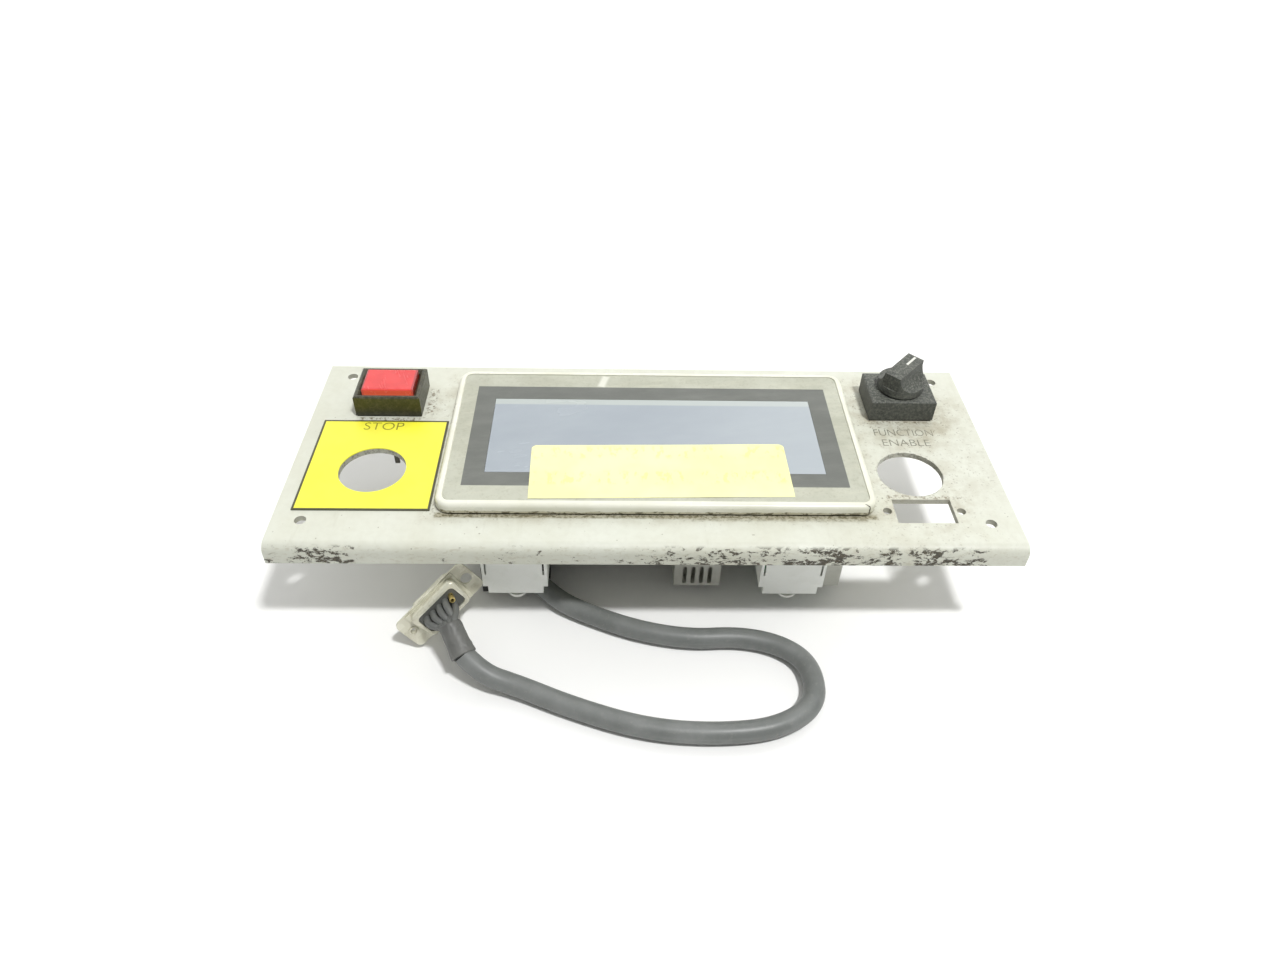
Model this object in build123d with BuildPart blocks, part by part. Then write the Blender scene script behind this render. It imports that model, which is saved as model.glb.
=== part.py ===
from build123d import *
import os

# Operator panel of a machine: a bent steel front panel that carries a yellow emergency stop legend,
# a display terminal, an illuminated push button, a selector switch and a data cable with its connector.
# Millimetres. X runs along the panel, +Y to its back edge, +Z up through its face.
# The origin is under the middle of the panel, on the surface that the terminal's case stands on.

# Sheet steel panel
panel_width = 245.0
panel_depth = 98.0
panel_sheet = 2.0
panel_top = 45.0
flange_drop = 7.5
bend_radius = 3.3
mount_spacing_x = 226.0
mount_spacing_y = 79.0
mount_centre_y = 2.5
mount_hole_radius = 1.9

# Openings for controls and for the data connector
control_row_y = -12.5
control_hole_radius = 11.4
stop_x = -94.7
spare_x = 91.7
port_window_x = 92.1
port_window_y = -31.2
port_window_width = 20.0
port_window_depth = 11.3
port_screw_spacing = 25.0
port_screw_radius = 1.5

# Emergency stop legend plate
legend_width = 45.0
legend_depth = 47.0
legend_sheet = 0.4
legend_y = -9.0

# Display terminal
terminal_x = 2.5
terminal_y = 3.4
bezel_width = 146.0
bezel_depth = 75.0
bezel_height = 3.7
bezel_corner = 5.0
ridge_width = 2.3
ridge_height = 0.5
bezel_wall = 1.2
bezel_lap = 4.5
gasket_sheet = 0.8
film_sheet = 0.3
window_width = 116.3
window_depth = 41.0
window_shift_y = -0.7
touch_sheet = 1.6
touch_border = 5.0
screen_height = 4.6
label_width = 88.3
label_depth = 27.0
label_sheet = 0.15
label_turn = 1.0

# Terminal case behind the panel
case_clearance = 0.3
case_wall = 2.0
case_step_z = 17.0
case_foot_inset = 2.7
case_foot_depth = 49.0
skirt_depth = 8.3
skirt_drop = 11.7
vent_block_x = 18.3
vent_block_width = 16.6
vent_slot_width = 1.5
vent_slot_height = 8.7
vent_slot_pitch = 3.0
vent_slot_margin = 1.0
rear_slot_length = 12.0
rear_slot_width = 2.0
rear_slot_pitch = 6.0
rear_slot_rise = 8.0
end_block_x = 66.0
end_block_width = 8.0
board_sheet = 1.6
board_drop = 15.0
board_gap_x = 3.0
board_gap_y = 2.0
chip_width = 18.0
chip_depth = 14.0
chip_height = 2.2
chip_pitch_x = 34.0
chip_pitch_y = 22.0

# Clamp brackets and their screws
bracket_xs = (-45.5, 49.9)
bracket_sheet = 1.0
bracket_face_width = 19.0
bracket_reach = 9.7
bracket_slit = 0.65
bracket_bottom = 12.0
bracket_top_drop = 5.0
bracket_band_low = 3.4
bracket_band_height = 5.8
clamp_screw_radius = 1.95
clamp_head_radius = 3.6
clamp_head_height = 1.6
clamp_head_gap = 2.4
clamp_slot_width = 0.8
clamp_slot_length = 4.0
clamp_slot_depth = 0.8

# Controls of the 16 mm class
button_x = -94.4
selector_x = 95.0
small_control_y = 26.5
barrel_radius = 8.0
barrel_drop = 5.0
head_width = 24.0
head_depth = 18.6
head_height = 8.2
seal_sheet = 0.6
nut_height = 3.0
nut_rim = 3.0
block_height = 10.5
block_width = 17.0
guide_clearance = 0.3
running_clearance = 0.05
button_travel = 2.5
button_tab_length = 9.0
selector_tab_length = 4.0
tab_width = 1.8
tab_sheet = 0.8
tab_spots = [(-1.8, -4.4), (3.6, -4.4), (-3.6, 4.4), (3.6, 4.4)]
lens_width = 18.6
lens_depth = 12.5
lens_gap_y = 0.8
lens_height = 4.0
lens_proud = 1.4
lens_wall = 1.4
knob_radius = 8.4
knob_skirt = 3.0
knob_height = 10.2
knob_slope = 5.0
handle_width = 6.6
handle_length = 15.4
pointer_angle = 45.0
pointer_width = 0.9
pointer_length = 5.6
pointer_depth = 0.4
pointer_inset = 3.4
shaft_radius = 5.0

# Data cable and the free connector
cable_radius = 3.6
hood_x = -47.0
hood_width = 24.0
hood_depth = 10.1
hood_height = 13.0
connector_centre = Vector(-70.6, -46.2, 14.7)
connector_along = Vector(0.70, 0.47, 0.53)
connector_facing = Vector(0.34, -0.88, 0.33)
sleeve_start = Vector(-65.5, -57.2, 17.4)
sleeve_end = Vector(-60.5, -65.4, 12.2)

# Derived heights and places
panel_back = panel_top - panel_sheet
cutout_width = bezel_width - 2 * bezel_lap
cutout_depth = bezel_depth - 2 * bezel_lap
board_z = panel_top - board_drop
bracket_top = panel_back - bracket_top_drop
small_hole_radius = barrel_radius + 0.1
barrel_bottom = panel_back - barrel_drop
block_bottom = barrel_bottom - block_height
nut_radius = barrel_radius + nut_rim
gasket_top = panel_top + gasket_sheet
bezel_top = gasket_top + bezel_height
film_bottom = bezel_top - ridge_height
film_top = film_bottom + film_sheet
face_bottom = film_bottom - bezel_wall
case_width = cutout_width - 2 * case_clearance
case_depth = cutout_depth - 2 * case_clearance
case_front = terminal_y - case_depth / 2
case_rear = terminal_y + case_depth / 2
foot_front = case_rear - case_foot_depth
seal_top = panel_top + seal_sheet
head_top = seal_top + head_height
window_y = terminal_y + window_shift_y

os.makedirs("parts", exist_ok=True)


def save(built, label):
    built.part.label = label
    export_step(built.part, "parts/" + label + ".step")


def rounded_block(width, depth, low, high, x, y, corner):
    """A plate with rounded upright edges, between two heights."""
    with BuildPart() as block:
        with BuildSketch(Plane((x, y, low))):
            RectangleRounded(width, depth, corner)
        extrude(amount=high - low)
    return block


# Front panel

with BuildPart() as front_panel:
    front = -panel_depth / 2
    with BuildSketch(Plane.YZ.offset(-panel_width / 2)):
        with BuildLine():
            Polyline(
                (panel_depth / 2, panel_back),
                (panel_depth / 2, panel_top),
                (front, panel_top),
                (front, panel_top - flange_drop),
                (front + panel_sheet, panel_top - flange_drop),
                (front + panel_sheet, panel_back),
                close=True,
            )
        make_face()
    extrude(amount=panel_width)
    bend_edges = front_panel.edges().filter_by(Axis.X)
    outer_bend = bend_edges.sort_by_distance((0, front, panel_top))[0]
    fillet(outer_bend, bend_radius)
    bend_edges = front_panel.edges().filter_by(Axis.X)
    inner_bend = bend_edges.sort_by_distance((0, front + panel_sheet, panel_back))[0]
    fillet(inner_bend, bend_radius - panel_sheet)
    with BuildSketch(Plane.XY.offset(panel_top)):
        with Locations((terminal_x, terminal_y)):
            RectangleRounded(cutout_width, cutout_depth, bezel_corner / 2)
        with Locations((stop_x, control_row_y), (spare_x, control_row_y)):
            Circle(control_hole_radius)
        with Locations((button_x, small_control_y), (selector_x, small_control_y)):
            Circle(small_hole_radius)
        with Locations((port_window_x, port_window_y)):
            Rectangle(port_window_width, port_window_depth)
            with GridLocations(port_screw_spacing, 0, 2, 1):
                Circle(port_screw_radius)
        with Locations((0, mount_centre_y)):
            with GridLocations(mount_spacing_x, mount_spacing_y, 2, 2):
                Circle(mount_hole_radius)
    extrude(amount=-panel_sheet, mode=Mode.SUBTRACT)
save(front_panel, "front_panel")

# Emergency stop legend plate

with BuildPart() as legend_plate:
    with BuildSketch(Plane.XY.offset(panel_top)):
        with Locations((stop_x, legend_y)):
            Rectangle(legend_width, legend_depth)
        with Locations((stop_x, control_row_y)):
            Circle(control_hole_radius, mode=Mode.SUBTRACT)
    extrude(amount=legend_sheet)
save(legend_plate, "estop_legend_plate")

# Terminal front

with BuildPart() as terminal_gasket:
    with BuildSketch(Plane((terminal_x, terminal_y, panel_top))):
        RectangleRounded(bezel_width - 1, bezel_depth - 1, bezel_corner)
        RectangleRounded(cutout_width + 1, cutout_depth + 1, bezel_corner / 2, mode=Mode.SUBTRACT)
    extrude(amount=gasket_sheet)
save(terminal_gasket, "terminal_gasket")

film_width = bezel_width - 2 * ridge_width
film_depth = bezel_depth - 2 * ridge_width
touch_width = window_width + 2 * touch_border
touch_depth = window_depth + 2 * touch_border
with BuildPart() as terminal_bezel:
    with BuildSketch(Plane((terminal_x, terminal_y, gasket_top))):
        RectangleRounded(bezel_width, bezel_depth, bezel_corner)
    extrude(amount=bezel_height)
    rim_edges = terminal_bezel.faces().sort_by(Axis.Z)[-1].edges()
    fillet(rim_edges, 1.4)
    with BuildSketch(Plane((terminal_x, terminal_y, bezel_top))):
        RectangleRounded(film_width, film_depth, bezel_corner - ridge_width)
    extrude(amount=-ridge_height, mode=Mode.SUBTRACT)
    with BuildSketch(Plane((terminal_x, window_y, film_bottom))):
        Rectangle(window_width, window_depth)
    extrude(amount=-bezel_height, mode=Mode.SUBTRACT)
    with BuildSketch(Plane((terminal_x, window_y, gasket_top))):
        Rectangle(touch_width, touch_depth)
    extrude(amount=face_bottom - gasket_top, mode=Mode.SUBTRACT)
save(terminal_bezel, "terminal_bezel")

with BuildPart() as overlay_film:
    with BuildSketch(Plane((terminal_x, terminal_y, film_bottom))):
        RectangleRounded(film_width - 0.4, film_depth - 0.4, bezel_corner - ridge_width)
        with Locations((0, window_shift_y)):
            Rectangle(window_width, window_depth, mode=Mode.SUBTRACT)
    extrude(amount=film_sheet)
save(overlay_film, "overlay_film")

with BuildPart() as display_window:
    with BuildSketch(Plane((terminal_x, window_y, face_bottom))):
        Rectangle(window_width - 0.2, window_depth - 0.2)
    extrude(amount=film_top - face_bottom)
save(display_window, "display_window")

touch_bottom = face_bottom - touch_sheet
with BuildPart() as touch_panel:
    with BuildSketch(Plane((terminal_x, window_y, touch_bottom))):
        Rectangle(touch_width - 0.6, touch_depth - 0.6)
    extrude(amount=touch_sheet)
save(touch_panel, "touch_panel")

with BuildPart() as stock_label:
    with BuildSketch(Plane((terminal_x + 1.4, terminal_y - 19.9, film_top))):
        with Locations(Location((0, 0), label_turn)):
            Rectangle(label_width, label_depth)
    extrude(amount=label_sheet)
save(stock_label, "stock_label")

glass_recess_depth = 0.4
with BuildPart() as lcd_module:
    with BuildSketch(Plane((terminal_x, window_y, touch_bottom))):
        Rectangle(touch_width, touch_depth)
    extrude(amount=-screen_height)
    glass_recess = lcd_module.faces().sort_by(Axis.Z)[-1]
    with BuildSketch(glass_recess):
        Rectangle(window_width, window_depth)
    extrude(amount=-glass_recess_depth, mode=Mode.SUBTRACT)
save(lcd_module, "lcd_module")

# Terminal case: an open box behind the panel, deeper along its rear half, where it stands

foot_width = case_width - 2 * case_foot_inset
foot_y = (foot_front + case_rear) / 2
hook_slot_width = bracket_sheet + 0.8
hook_slot_height = 5.0
hook_height = 3.6
hook_rise = 9.0
hook_z = case_step_z + hook_rise
band_bottom = bracket_bottom + bracket_band_low
hook_offset = bracket_face_width / 2 + bracket_slit + bracket_sheet / 2
case_screw_inset = 7.0
case_screw_radius = 1.5
case_screw_head = 2.8
case_screw_grip = 8.0
case_screw_head_height = 1.6
case_screw_sink = 0.4
screw_slot_length = 3.4
screw_slot_width = 0.7
case_corner = 1.5
boss_wall = 1.4
case_screw_seat = case_screw_sink + case_screw_head_height
vent_slot_z = case_step_z - skirt_drop + vent_slot_margin + vent_slot_height / 2
with BuildPart() as rear_case:
    with BuildSketch(Plane((terminal_x, terminal_y, case_step_z))):
        RectangleRounded(case_width, case_depth, case_corner)
    extrude(amount=gasket_top - case_step_z)
    with BuildSketch(Plane((terminal_x, foot_y, 0))):
        RectangleRounded(foot_width, case_foot_depth, case_corner)
    extrude(amount=case_step_z)
    with BuildSketch(Plane.XY.offset(case_step_z)):
        with Locations((vent_block_x, case_front + skirt_depth / 2)):
            Rectangle(vent_block_width, skirt_depth)
        with Locations((end_block_x, case_front + skirt_depth / 2)):
            Rectangle(end_block_width, skirt_depth)
    extrude(amount=-skirt_drop)
    with BuildSketch(Plane((terminal_x, terminal_y, gasket_top))):
        Rectangle(case_width - 2 * case_wall, case_depth - 2 * case_wall)
    extrude(amount=case_step_z + case_wall - gasket_top, mode=Mode.SUBTRACT)
    with BuildSketch(Plane((terminal_x, foot_y, case_step_z + case_wall))):
        Rectangle(foot_width - 2 * case_wall, case_foot_depth - 2 * case_wall)
    extrude(amount=-case_step_z, mode=Mode.SUBTRACT)
    screw_x = foot_width / 2 - case_screw_inset
    screw_y = case_foot_depth / 2 - case_screw_inset
    with BuildSketch(Plane((terminal_x, foot_y, 0))):
        with GridLocations(2 * screw_x, 2 * screw_y, 2, 2):
            Circle(case_screw_head + boss_wall)
    extrude(amount=case_screw_grip + 3)
    with Locations(Plane((terminal_x, foot_y, 0), z_dir=(0, 0, -1))):
        with GridLocations(2 * screw_x, 2 * screw_y, 2, 2):
            CounterBoreHole(case_screw_radius, case_screw_head + 0.2, case_screw_seat, case_screw_grip)
    # vent slots through the front wall of the small block
    with BuildSketch(Plane.XZ.offset(-case_front)):
        with Locations((vent_block_x, vent_slot_z)):
            with GridLocations(vent_slot_pitch, 0, 4, 1):
                SlotOverall(vent_slot_height, vent_slot_width, rotation=90)
    extrude(amount=-case_wall * 2, mode=Mode.SUBTRACT)
    # vent slots through the rear wall
    with BuildSketch(Plane.XZ.offset(-case_rear)):
        with Locations((terminal_x, case_step_z + rear_slot_rise)):
            with GridLocations(rear_slot_pitch, 0, 9, 1):
                SlotOverall(rear_slot_length, rear_slot_width, rotation=90)
    extrude(amount=case_wall, mode=Mode.SUBTRACT)
    # slots that take the hooks of the clamp brackets
    for wall_y in (case_front, case_rear - case_wall):
        with BuildSketch(Plane.XZ.offset(-wall_y)):
            for bracket_x in bracket_xs:
                with Locations((bracket_x, hook_z)):
                    with GridLocations(2 * hook_offset, 0, 2, 1):
                        Rectangle(hook_slot_width, hook_slot_height)
        extrude(amount=-case_wall, mode=Mode.SUBTRACT)
save(rear_case, "terminal_rear_case")

with BuildPart() as circuit_board:
    with BuildSketch(Plane((terminal_x, terminal_y, board_z))):
        Rectangle(case_width - 2 * (case_wall + board_gap_x), case_depth - 2 * (case_wall + board_gap_y))
    extrude(amount=board_sheet)
    with BuildSketch(Plane((terminal_x, terminal_y, board_z))):
        with GridLocations(chip_pitch_x, chip_pitch_y, 3, 2):
            Rectangle(chip_width, chip_depth)
    extrude(amount=-chip_height)
save(circuit_board, "terminal_circuit_board")

with BuildPart() as case_screws:
    with BuildSketch(Plane((terminal_x, foot_y, case_screw_sink))):
        with GridLocations(2 * screw_x, 2 * screw_y, 2, 2):
            Circle(case_screw_head)
    extrude(amount=case_screw_head_height)
    with BuildSketch(Plane((terminal_x, foot_y, case_screw_seat))):
        with GridLocations(2 * screw_x, 2 * screw_y, 2, 2):
            Circle(case_screw_radius - running_clearance)
    extrude(amount=case_screw_grip - 3)
    with BuildSketch(Plane((terminal_x, foot_y, case_screw_sink))):
        with GridLocations(2 * screw_x, 2 * screw_y, 2, 2):
            Rectangle(screw_slot_length, screw_slot_width)
            Rectangle(screw_slot_width, screw_slot_length)
    extrude(amount=case_screw_head_height / 2, mode=Mode.SUBTRACT)
save(case_screws, "case_screws")

# Ports on the front of the foot

port_z = 1.0 + hood_height / 2
flange_length = 30.8
flange_depth = 12.5
port_flange_sheet = 0.8
mating_width = 17.0
mating_depth = 8.4
mating_reach = 5.0
facing_front = {"x_dir": (1, 0, 0), "z_dir": (0, -1, 0)}
with BuildPart() as port_connector:
    with BuildSketch(Plane((hood_x, foot_front, port_z), **facing_front)):
        RectangleRounded(flange_length, flange_depth, 1.5)
    extrude(amount=port_flange_sheet)
    with BuildSketch(Plane((hood_x, foot_front - port_flange_sheet, port_z), **facing_front)):
        RectangleRounded(mating_width, mating_depth, 2.0)
    extrude(amount=mating_reach)
save(port_connector, "port_connector")

supply_x = 52.5
supply_width = 17.0
supply_height = 11.0
supply_reach = 9.0
supply_z = 8.5
supply_pitch = 5.08
wire_entry = 3.6
wire_entry_z = 5.5
clamp_row_z = 11.0
clamp_well_radius = 1.8
clamp_well_depth = 3.0
supply_screw_radius = 1.6
supply_screw_height = 1.4
with BuildPart() as supply_terminals:
    with BuildSketch(Plane((supply_x, foot_front, supply_z), **facing_front)):
        Rectangle(supply_width, supply_height)
    extrude(amount=supply_reach)
    with BuildSketch(Plane((supply_x, foot_front - supply_reach, wire_entry_z), **facing_front)):
        with GridLocations(supply_pitch, 0, 3, 1):
            Rectangle(wire_entry, wire_entry)
    extrude(amount=-2 * clamp_well_depth, mode=Mode.SUBTRACT)
    with BuildSketch(Plane((supply_x, foot_front - supply_reach, clamp_row_z), **facing_front)):
        with GridLocations(supply_pitch, 0, 3, 1):
            Circle(clamp_well_radius)
    extrude(amount=-clamp_well_depth, mode=Mode.SUBTRACT)
save(supply_terminals, "supply_terminal_block")

screw_seat_y = foot_front - supply_reach + clamp_well_depth
with BuildPart() as supply_screws:
    with BuildSketch(Plane((supply_x, screw_seat_y, clamp_row_z), **facing_front)):
        with GridLocations(supply_pitch, 0, 3, 1):
            Circle(supply_screw_radius)
            Rectangle(supply_screw_radius * 1.6, 0.5, mode=Mode.SUBTRACT)
    extrude(amount=supply_screw_height)
save(supply_screws, "supply_terminal_screws")


# Clamp brackets: each hooks into the case, and its screw pushes up against the panel

def clamp_bracket(x, side):
    """One bent sheet bracket. side is -1 on the front wall and 1 on the rear wall."""
    wall_y = case_front if side < 0 else case_rear
    face_y = wall_y + side * bracket_reach
    gap = case_clearance
    depth = bracket_reach - gap
    middle_y = wall_y + side * (gap + depth / 2)
    with BuildPart() as bracket:
        with BuildSketch(Plane((x, face_y - side * bracket_sheet / 2, bracket_bottom))):
            Rectangle(bracket_face_width, bracket_sheet)
        extrude(amount=bracket_top - bracket_bottom)
        with BuildSketch(Plane((x, middle_y, bracket_bottom))):
            Rectangle(bracket_face_width, depth)
            Circle(clamp_screw_radius + 0.25, mode=Mode.SUBTRACT)
        extrude(amount=bracket_sheet)
        with BuildSketch(Plane((x, middle_y, band_bottom))):
            with GridLocations(2 * hook_offset, 0, 2, 1):
                Rectangle(bracket_sheet, depth)
        extrude(amount=bracket_top - band_bottom)
        with BuildSketch(Plane((x, face_y - side * bracket_sheet / 2, band_bottom))):
            Rectangle(2 * hook_offset + bracket_sheet, bracket_sheet)
        extrude(amount=bracket_band_height)
        with BuildSketch(Plane((x, wall_y - side * case_wall / 2, hook_z - hook_height / 2))):
            with GridLocations(2 * hook_offset, 0, 2, 1):
                Rectangle(bracket_sheet, case_wall + 2 * gap + 0.4)
        extrude(amount=hook_height)
    return bracket


def clamp_screw_y(side):
    wall_y = case_front if side < 0 else case_rear
    return wall_y + side * (case_clearance + (bracket_reach - case_clearance) / 2)


bracket_names = {-1: "clamp_bracket_front_", 1: "clamp_bracket_rear_"}
for side, start in bracket_names.items():
    for bracket_x, end in zip(bracket_xs, ("left", "right")):
        save(clamp_bracket(bracket_x, side), start + end)

with BuildPart() as clamp_screws:
    screw_spots = [(x, clamp_screw_y(side)) for x in bracket_xs for side in (-1, 1)]
    clamp_head_top = bracket_bottom - clamp_head_gap
    with BuildSketch(Plane.XY.offset(clamp_head_top)):
        with Locations(screw_spots):
            Circle(clamp_screw_radius)
    extrude(amount=panel_back - clamp_head_top)
    with BuildSketch(Plane.XY.offset(clamp_head_top)):
        with Locations(screw_spots):
            Circle(clamp_head_radius)
    extrude(amount=-clamp_head_height)
    head_rims = clamp_screws.faces().group_by(Axis.Z)[0].edges()
    fillet(head_rims, clamp_head_height / 2)
    with BuildSketch(Plane.XY.offset(clamp_head_top - clamp_head_height)):
        with Locations(screw_spots):
            Rectangle(clamp_slot_length, clamp_slot_width)
            Rectangle(clamp_slot_width, clamp_slot_length)
    extrude(amount=clamp_slot_depth, mode=Mode.SUBTRACT)
save(clamp_screws, "clamp_screws")


# Parts that the push button and the selector share

def control_seal(x):
    with BuildPart() as seal:
        with BuildSketch(Plane((x, small_control_y, panel_top))):
            Rectangle(head_width - 0.8, head_depth - 0.8)
            Circle(barrel_radius + 0.1, mode=Mode.SUBTRACT)
        extrude(amount=seal_sheet)
    return seal


def ring_nut(x):
    with BuildPart() as nut:
        with BuildSketch(Plane((x, small_control_y, panel_back))):
            RegularPolygon(nut_radius, 6)
            Circle(barrel_radius + running_clearance, mode=Mode.SUBTRACT)
        extrude(amount=-nut_height)
    return nut


def solder_tabs(x, length):
    """Flat tabs that leave the bottom of a contact block."""
    with BuildPart() as tabs:
        with BuildSketch(Plane((x, small_control_y, block_bottom))):
            with Locations(*tab_spots):
                Rectangle(tab_width, tab_sheet)
        extrude(amount=-length)
    return tabs


control_rows = ((button_x, "button", button_tab_length), (selector_x, "selector", selector_tab_length))
for control_x, name, control_tab_length in control_rows:
    save(control_seal(control_x), name + "_seal")
    save(ring_nut(control_x), name + "_mounting_nut")
    save(solder_tabs(control_x, control_tab_length), name + "_solder_tabs")

# Illuminated push button

well_floor = seal_top + 1.0
barrel_wall = 1.3
bore_radius = barrel_radius - barrel_wall
with BuildPart() as button_housing:
    with BuildSketch(Plane((button_x, small_control_y, seal_top))):
        Rectangle(head_width, head_depth)
    extrude(amount=head_height)
    top_edges = button_housing.faces().sort_by(Axis.Z)[-1].edges()
    chamfer(top_edges, 0.5)
    with BuildSketch(Plane((button_x, small_control_y, seal_top))):
        Circle(barrel_radius)
    extrude(amount=barrel_bottom - seal_top)
    with BuildSketch(Plane((button_x, small_control_y, head_top))):
        Rectangle(lens_width + 2 * guide_clearance, lens_depth + 2 * lens_gap_y)
    extrude(amount=well_floor - head_top, mode=Mode.SUBTRACT)
    with BuildSketch(Plane((button_x, small_control_y, head_top))):
        Circle(bore_radius)
    extrude(amount=barrel_bottom - head_top, mode=Mode.SUBTRACT)
    well_edges = button_housing.faces().sort_by(Axis.Z)[-1].inner_wires()[0].edges()
    chamfer(well_edges, 1.0)
save(button_housing, "button_housing")

lens_top = head_top + lens_proud
lens_bottom = lens_top - lens_height
with BuildPart() as button_lens:
    with BuildSketch(Plane((button_x, small_control_y, lens_bottom))):
        Rectangle(lens_width, lens_depth)
    extrude(amount=lens_height)
    lens_edges = button_lens.faces().sort_by(Axis.Z)[-1].edges()
    fillet(lens_edges, 0.4)
    with BuildSketch(Plane((button_x, small_control_y, lens_bottom))):
        Rectangle(lens_width - 2 * lens_wall, lens_depth - 2 * lens_wall)
    extrude(amount=lens_height - lens_wall, mode=Mode.SUBTRACT)
save(button_lens, "button_lens")

plunger_radius = bore_radius - guide_clearance
plunger_wall = 1.6
plunger_bore = plunger_radius - plunger_wall
plunger_plate = 1.0
plate_bottom = lens_bottom - plunger_plate
spring_wire = 0.35
spring_radius = plunger_bore - spring_wire - 0.25
socket_radius = spring_radius - spring_wire - 0.45
light_hole_radius = socket_radius + 0.2
tube_bottom = barrel_bottom + button_travel + 0.5
leg_width = 1.2
leg_depth = 3.0
leg_offset = plunger_bore + leg_width / 2
chamber_drop = 1.5
leg_reach = 3.4
leg_bottom = barrel_bottom - leg_reach
with BuildPart() as button_plunger:
    with BuildSketch(Plane((button_x, small_control_y, lens_bottom))):
        Rectangle(lens_width - 0.4, lens_depth - 0.4)
        Circle(light_hole_radius, mode=Mode.SUBTRACT)
    extrude(amount=-plunger_plate)
    with BuildSketch(Plane((button_x, small_control_y, plate_bottom))):
        Circle(plunger_radius)
        Circle(plunger_bore, mode=Mode.SUBTRACT)
    extrude(amount=tube_bottom - plate_bottom)
    with BuildSketch(Plane((button_x, small_control_y, tube_bottom))):
        with GridLocations(2 * leg_offset, 0, 2, 1):
            Rectangle(leg_width, leg_depth)
    extrude(amount=leg_bottom - tube_bottom)
save(button_plunger, "button_plunger")

lamp_rim = 0.9
lamp_radius = socket_radius - lamp_rim
socket_height = 6.0
lamp_height = 3.5
with BuildPart() as lamp_socket:
    with BuildSketch(Plane((button_x, small_control_y, barrel_bottom))):
        Circle(socket_radius)
    extrude(amount=socket_height)
save(lamp_socket, "button_lamp_socket")

with BuildPart() as button_lamp:
    with BuildSketch(Plane((button_x, small_control_y, barrel_bottom + socket_height))):
        Circle(lamp_radius)
    extrude(amount=lamp_height)
    fillet(button_lamp.faces().sort_by(Axis.Z)[-1].edges(), lamp_radius - 0.3)
save(button_lamp, "button_lamp")

spring_low = barrel_bottom + spring_wire + 0.05
spring_turns_height = plate_bottom - barrel_bottom - 2 * spring_wire - 0.1
with BuildPart() as return_spring:
    with BuildLine():
        coil = Helix(
            pitch=spring_turns_height / 6,
            height=spring_turns_height,
            radius=spring_radius,
            center=(button_x, small_control_y, spring_low),
        )
    with BuildSketch(Plane(origin=coil @ 0, z_dir=coil % 0)):
        Circle(spring_wire)
    sweep(is_frenet=True)
save(return_spring, "button_return_spring")

chamber_depth = 11.0
chamber_width = 3.6
bridge_width = 2.4
block_floor = 1.5
chamber_top = barrel_bottom - chamber_drop
chamber_bottom = block_bottom + block_floor
with BuildPart() as button_block:
    with BuildSketch(Plane((button_x, small_control_y, block_bottom))):
        Rectangle(block_width, block_width)
    extrude(amount=barrel_bottom - block_bottom)
    with BuildSketch(Plane((button_x, small_control_y, barrel_bottom))):
        with GridLocations(2 * leg_offset, 0, 2, 1):
            Rectangle(leg_width + 2 * guide_clearance, leg_depth + 2 * guide_clearance)
    extrude(amount=chamber_top - barrel_bottom, mode=Mode.SUBTRACT)
    with BuildSketch(Plane((button_x, small_control_y, chamber_top))):
        with GridLocations(2 * leg_offset, 0, 2, 1):
            Rectangle(chamber_width, chamber_depth)
    extrude(amount=chamber_bottom - chamber_top, mode=Mode.SUBTRACT)
save(button_block, "button_contact_block")

bridge_sheet = 0.6
with BuildPart() as button_bridges:
    with BuildSketch(Plane((button_x, small_control_y, leg_bottom))):
        with GridLocations(2 * leg_offset, 0, 2, 1):
            Rectangle(bridge_width, chamber_depth - 1.6)
    extrude(amount=-bridge_sheet)
save(button_bridges, "button_contact_bridges")

fixed_contact_top = leg_bottom - bridge_sheet - button_travel - guide_clearance
with BuildPart() as button_fixed_contacts:
    with BuildSketch(Plane((button_x, small_control_y, chamber_bottom))):
        with GridLocations(2 * leg_offset, chamber_depth - 3.4, 2, 2):
            Rectangle(2.0, 1.6)
    extrude(amount=fixed_contact_top - chamber_bottom)
save(button_fixed_contacts, "button_fixed_contacts")

# Selector switch

shaft_bore = shaft_radius + running_clearance
detent_radius = 1.2
detent_z = head_top - 3.2
pocket_wall = 1.5
with BuildPart() as selector_housing:
    with BuildSketch(Plane((selector_x, small_control_y, seal_top))):
        Rectangle(head_width, head_depth)
    extrude(amount=head_height)
    top_edges = selector_housing.faces().sort_by(Axis.Z)[-1].edges()
    chamfer(top_edges, 0.4)
    with BuildSketch(Plane((selector_x, small_control_y, seal_top))):
        Circle(barrel_radius)
    extrude(amount=barrel_bottom - seal_top)
    with BuildSketch(Plane((selector_x, small_control_y, head_top))):
        Circle(shaft_bore)
    extrude(amount=barrel_bottom - head_top, mode=Mode.SUBTRACT)
    with BuildSketch(Plane((selector_x, small_control_y, detent_z), z_dir=(1, 0, 0))):
        Circle(detent_radius + running_clearance)
    extrude(amount=head_width / 2 - pocket_wall, mode=Mode.SUBTRACT)
save(selector_housing, "selector_housing")

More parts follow.
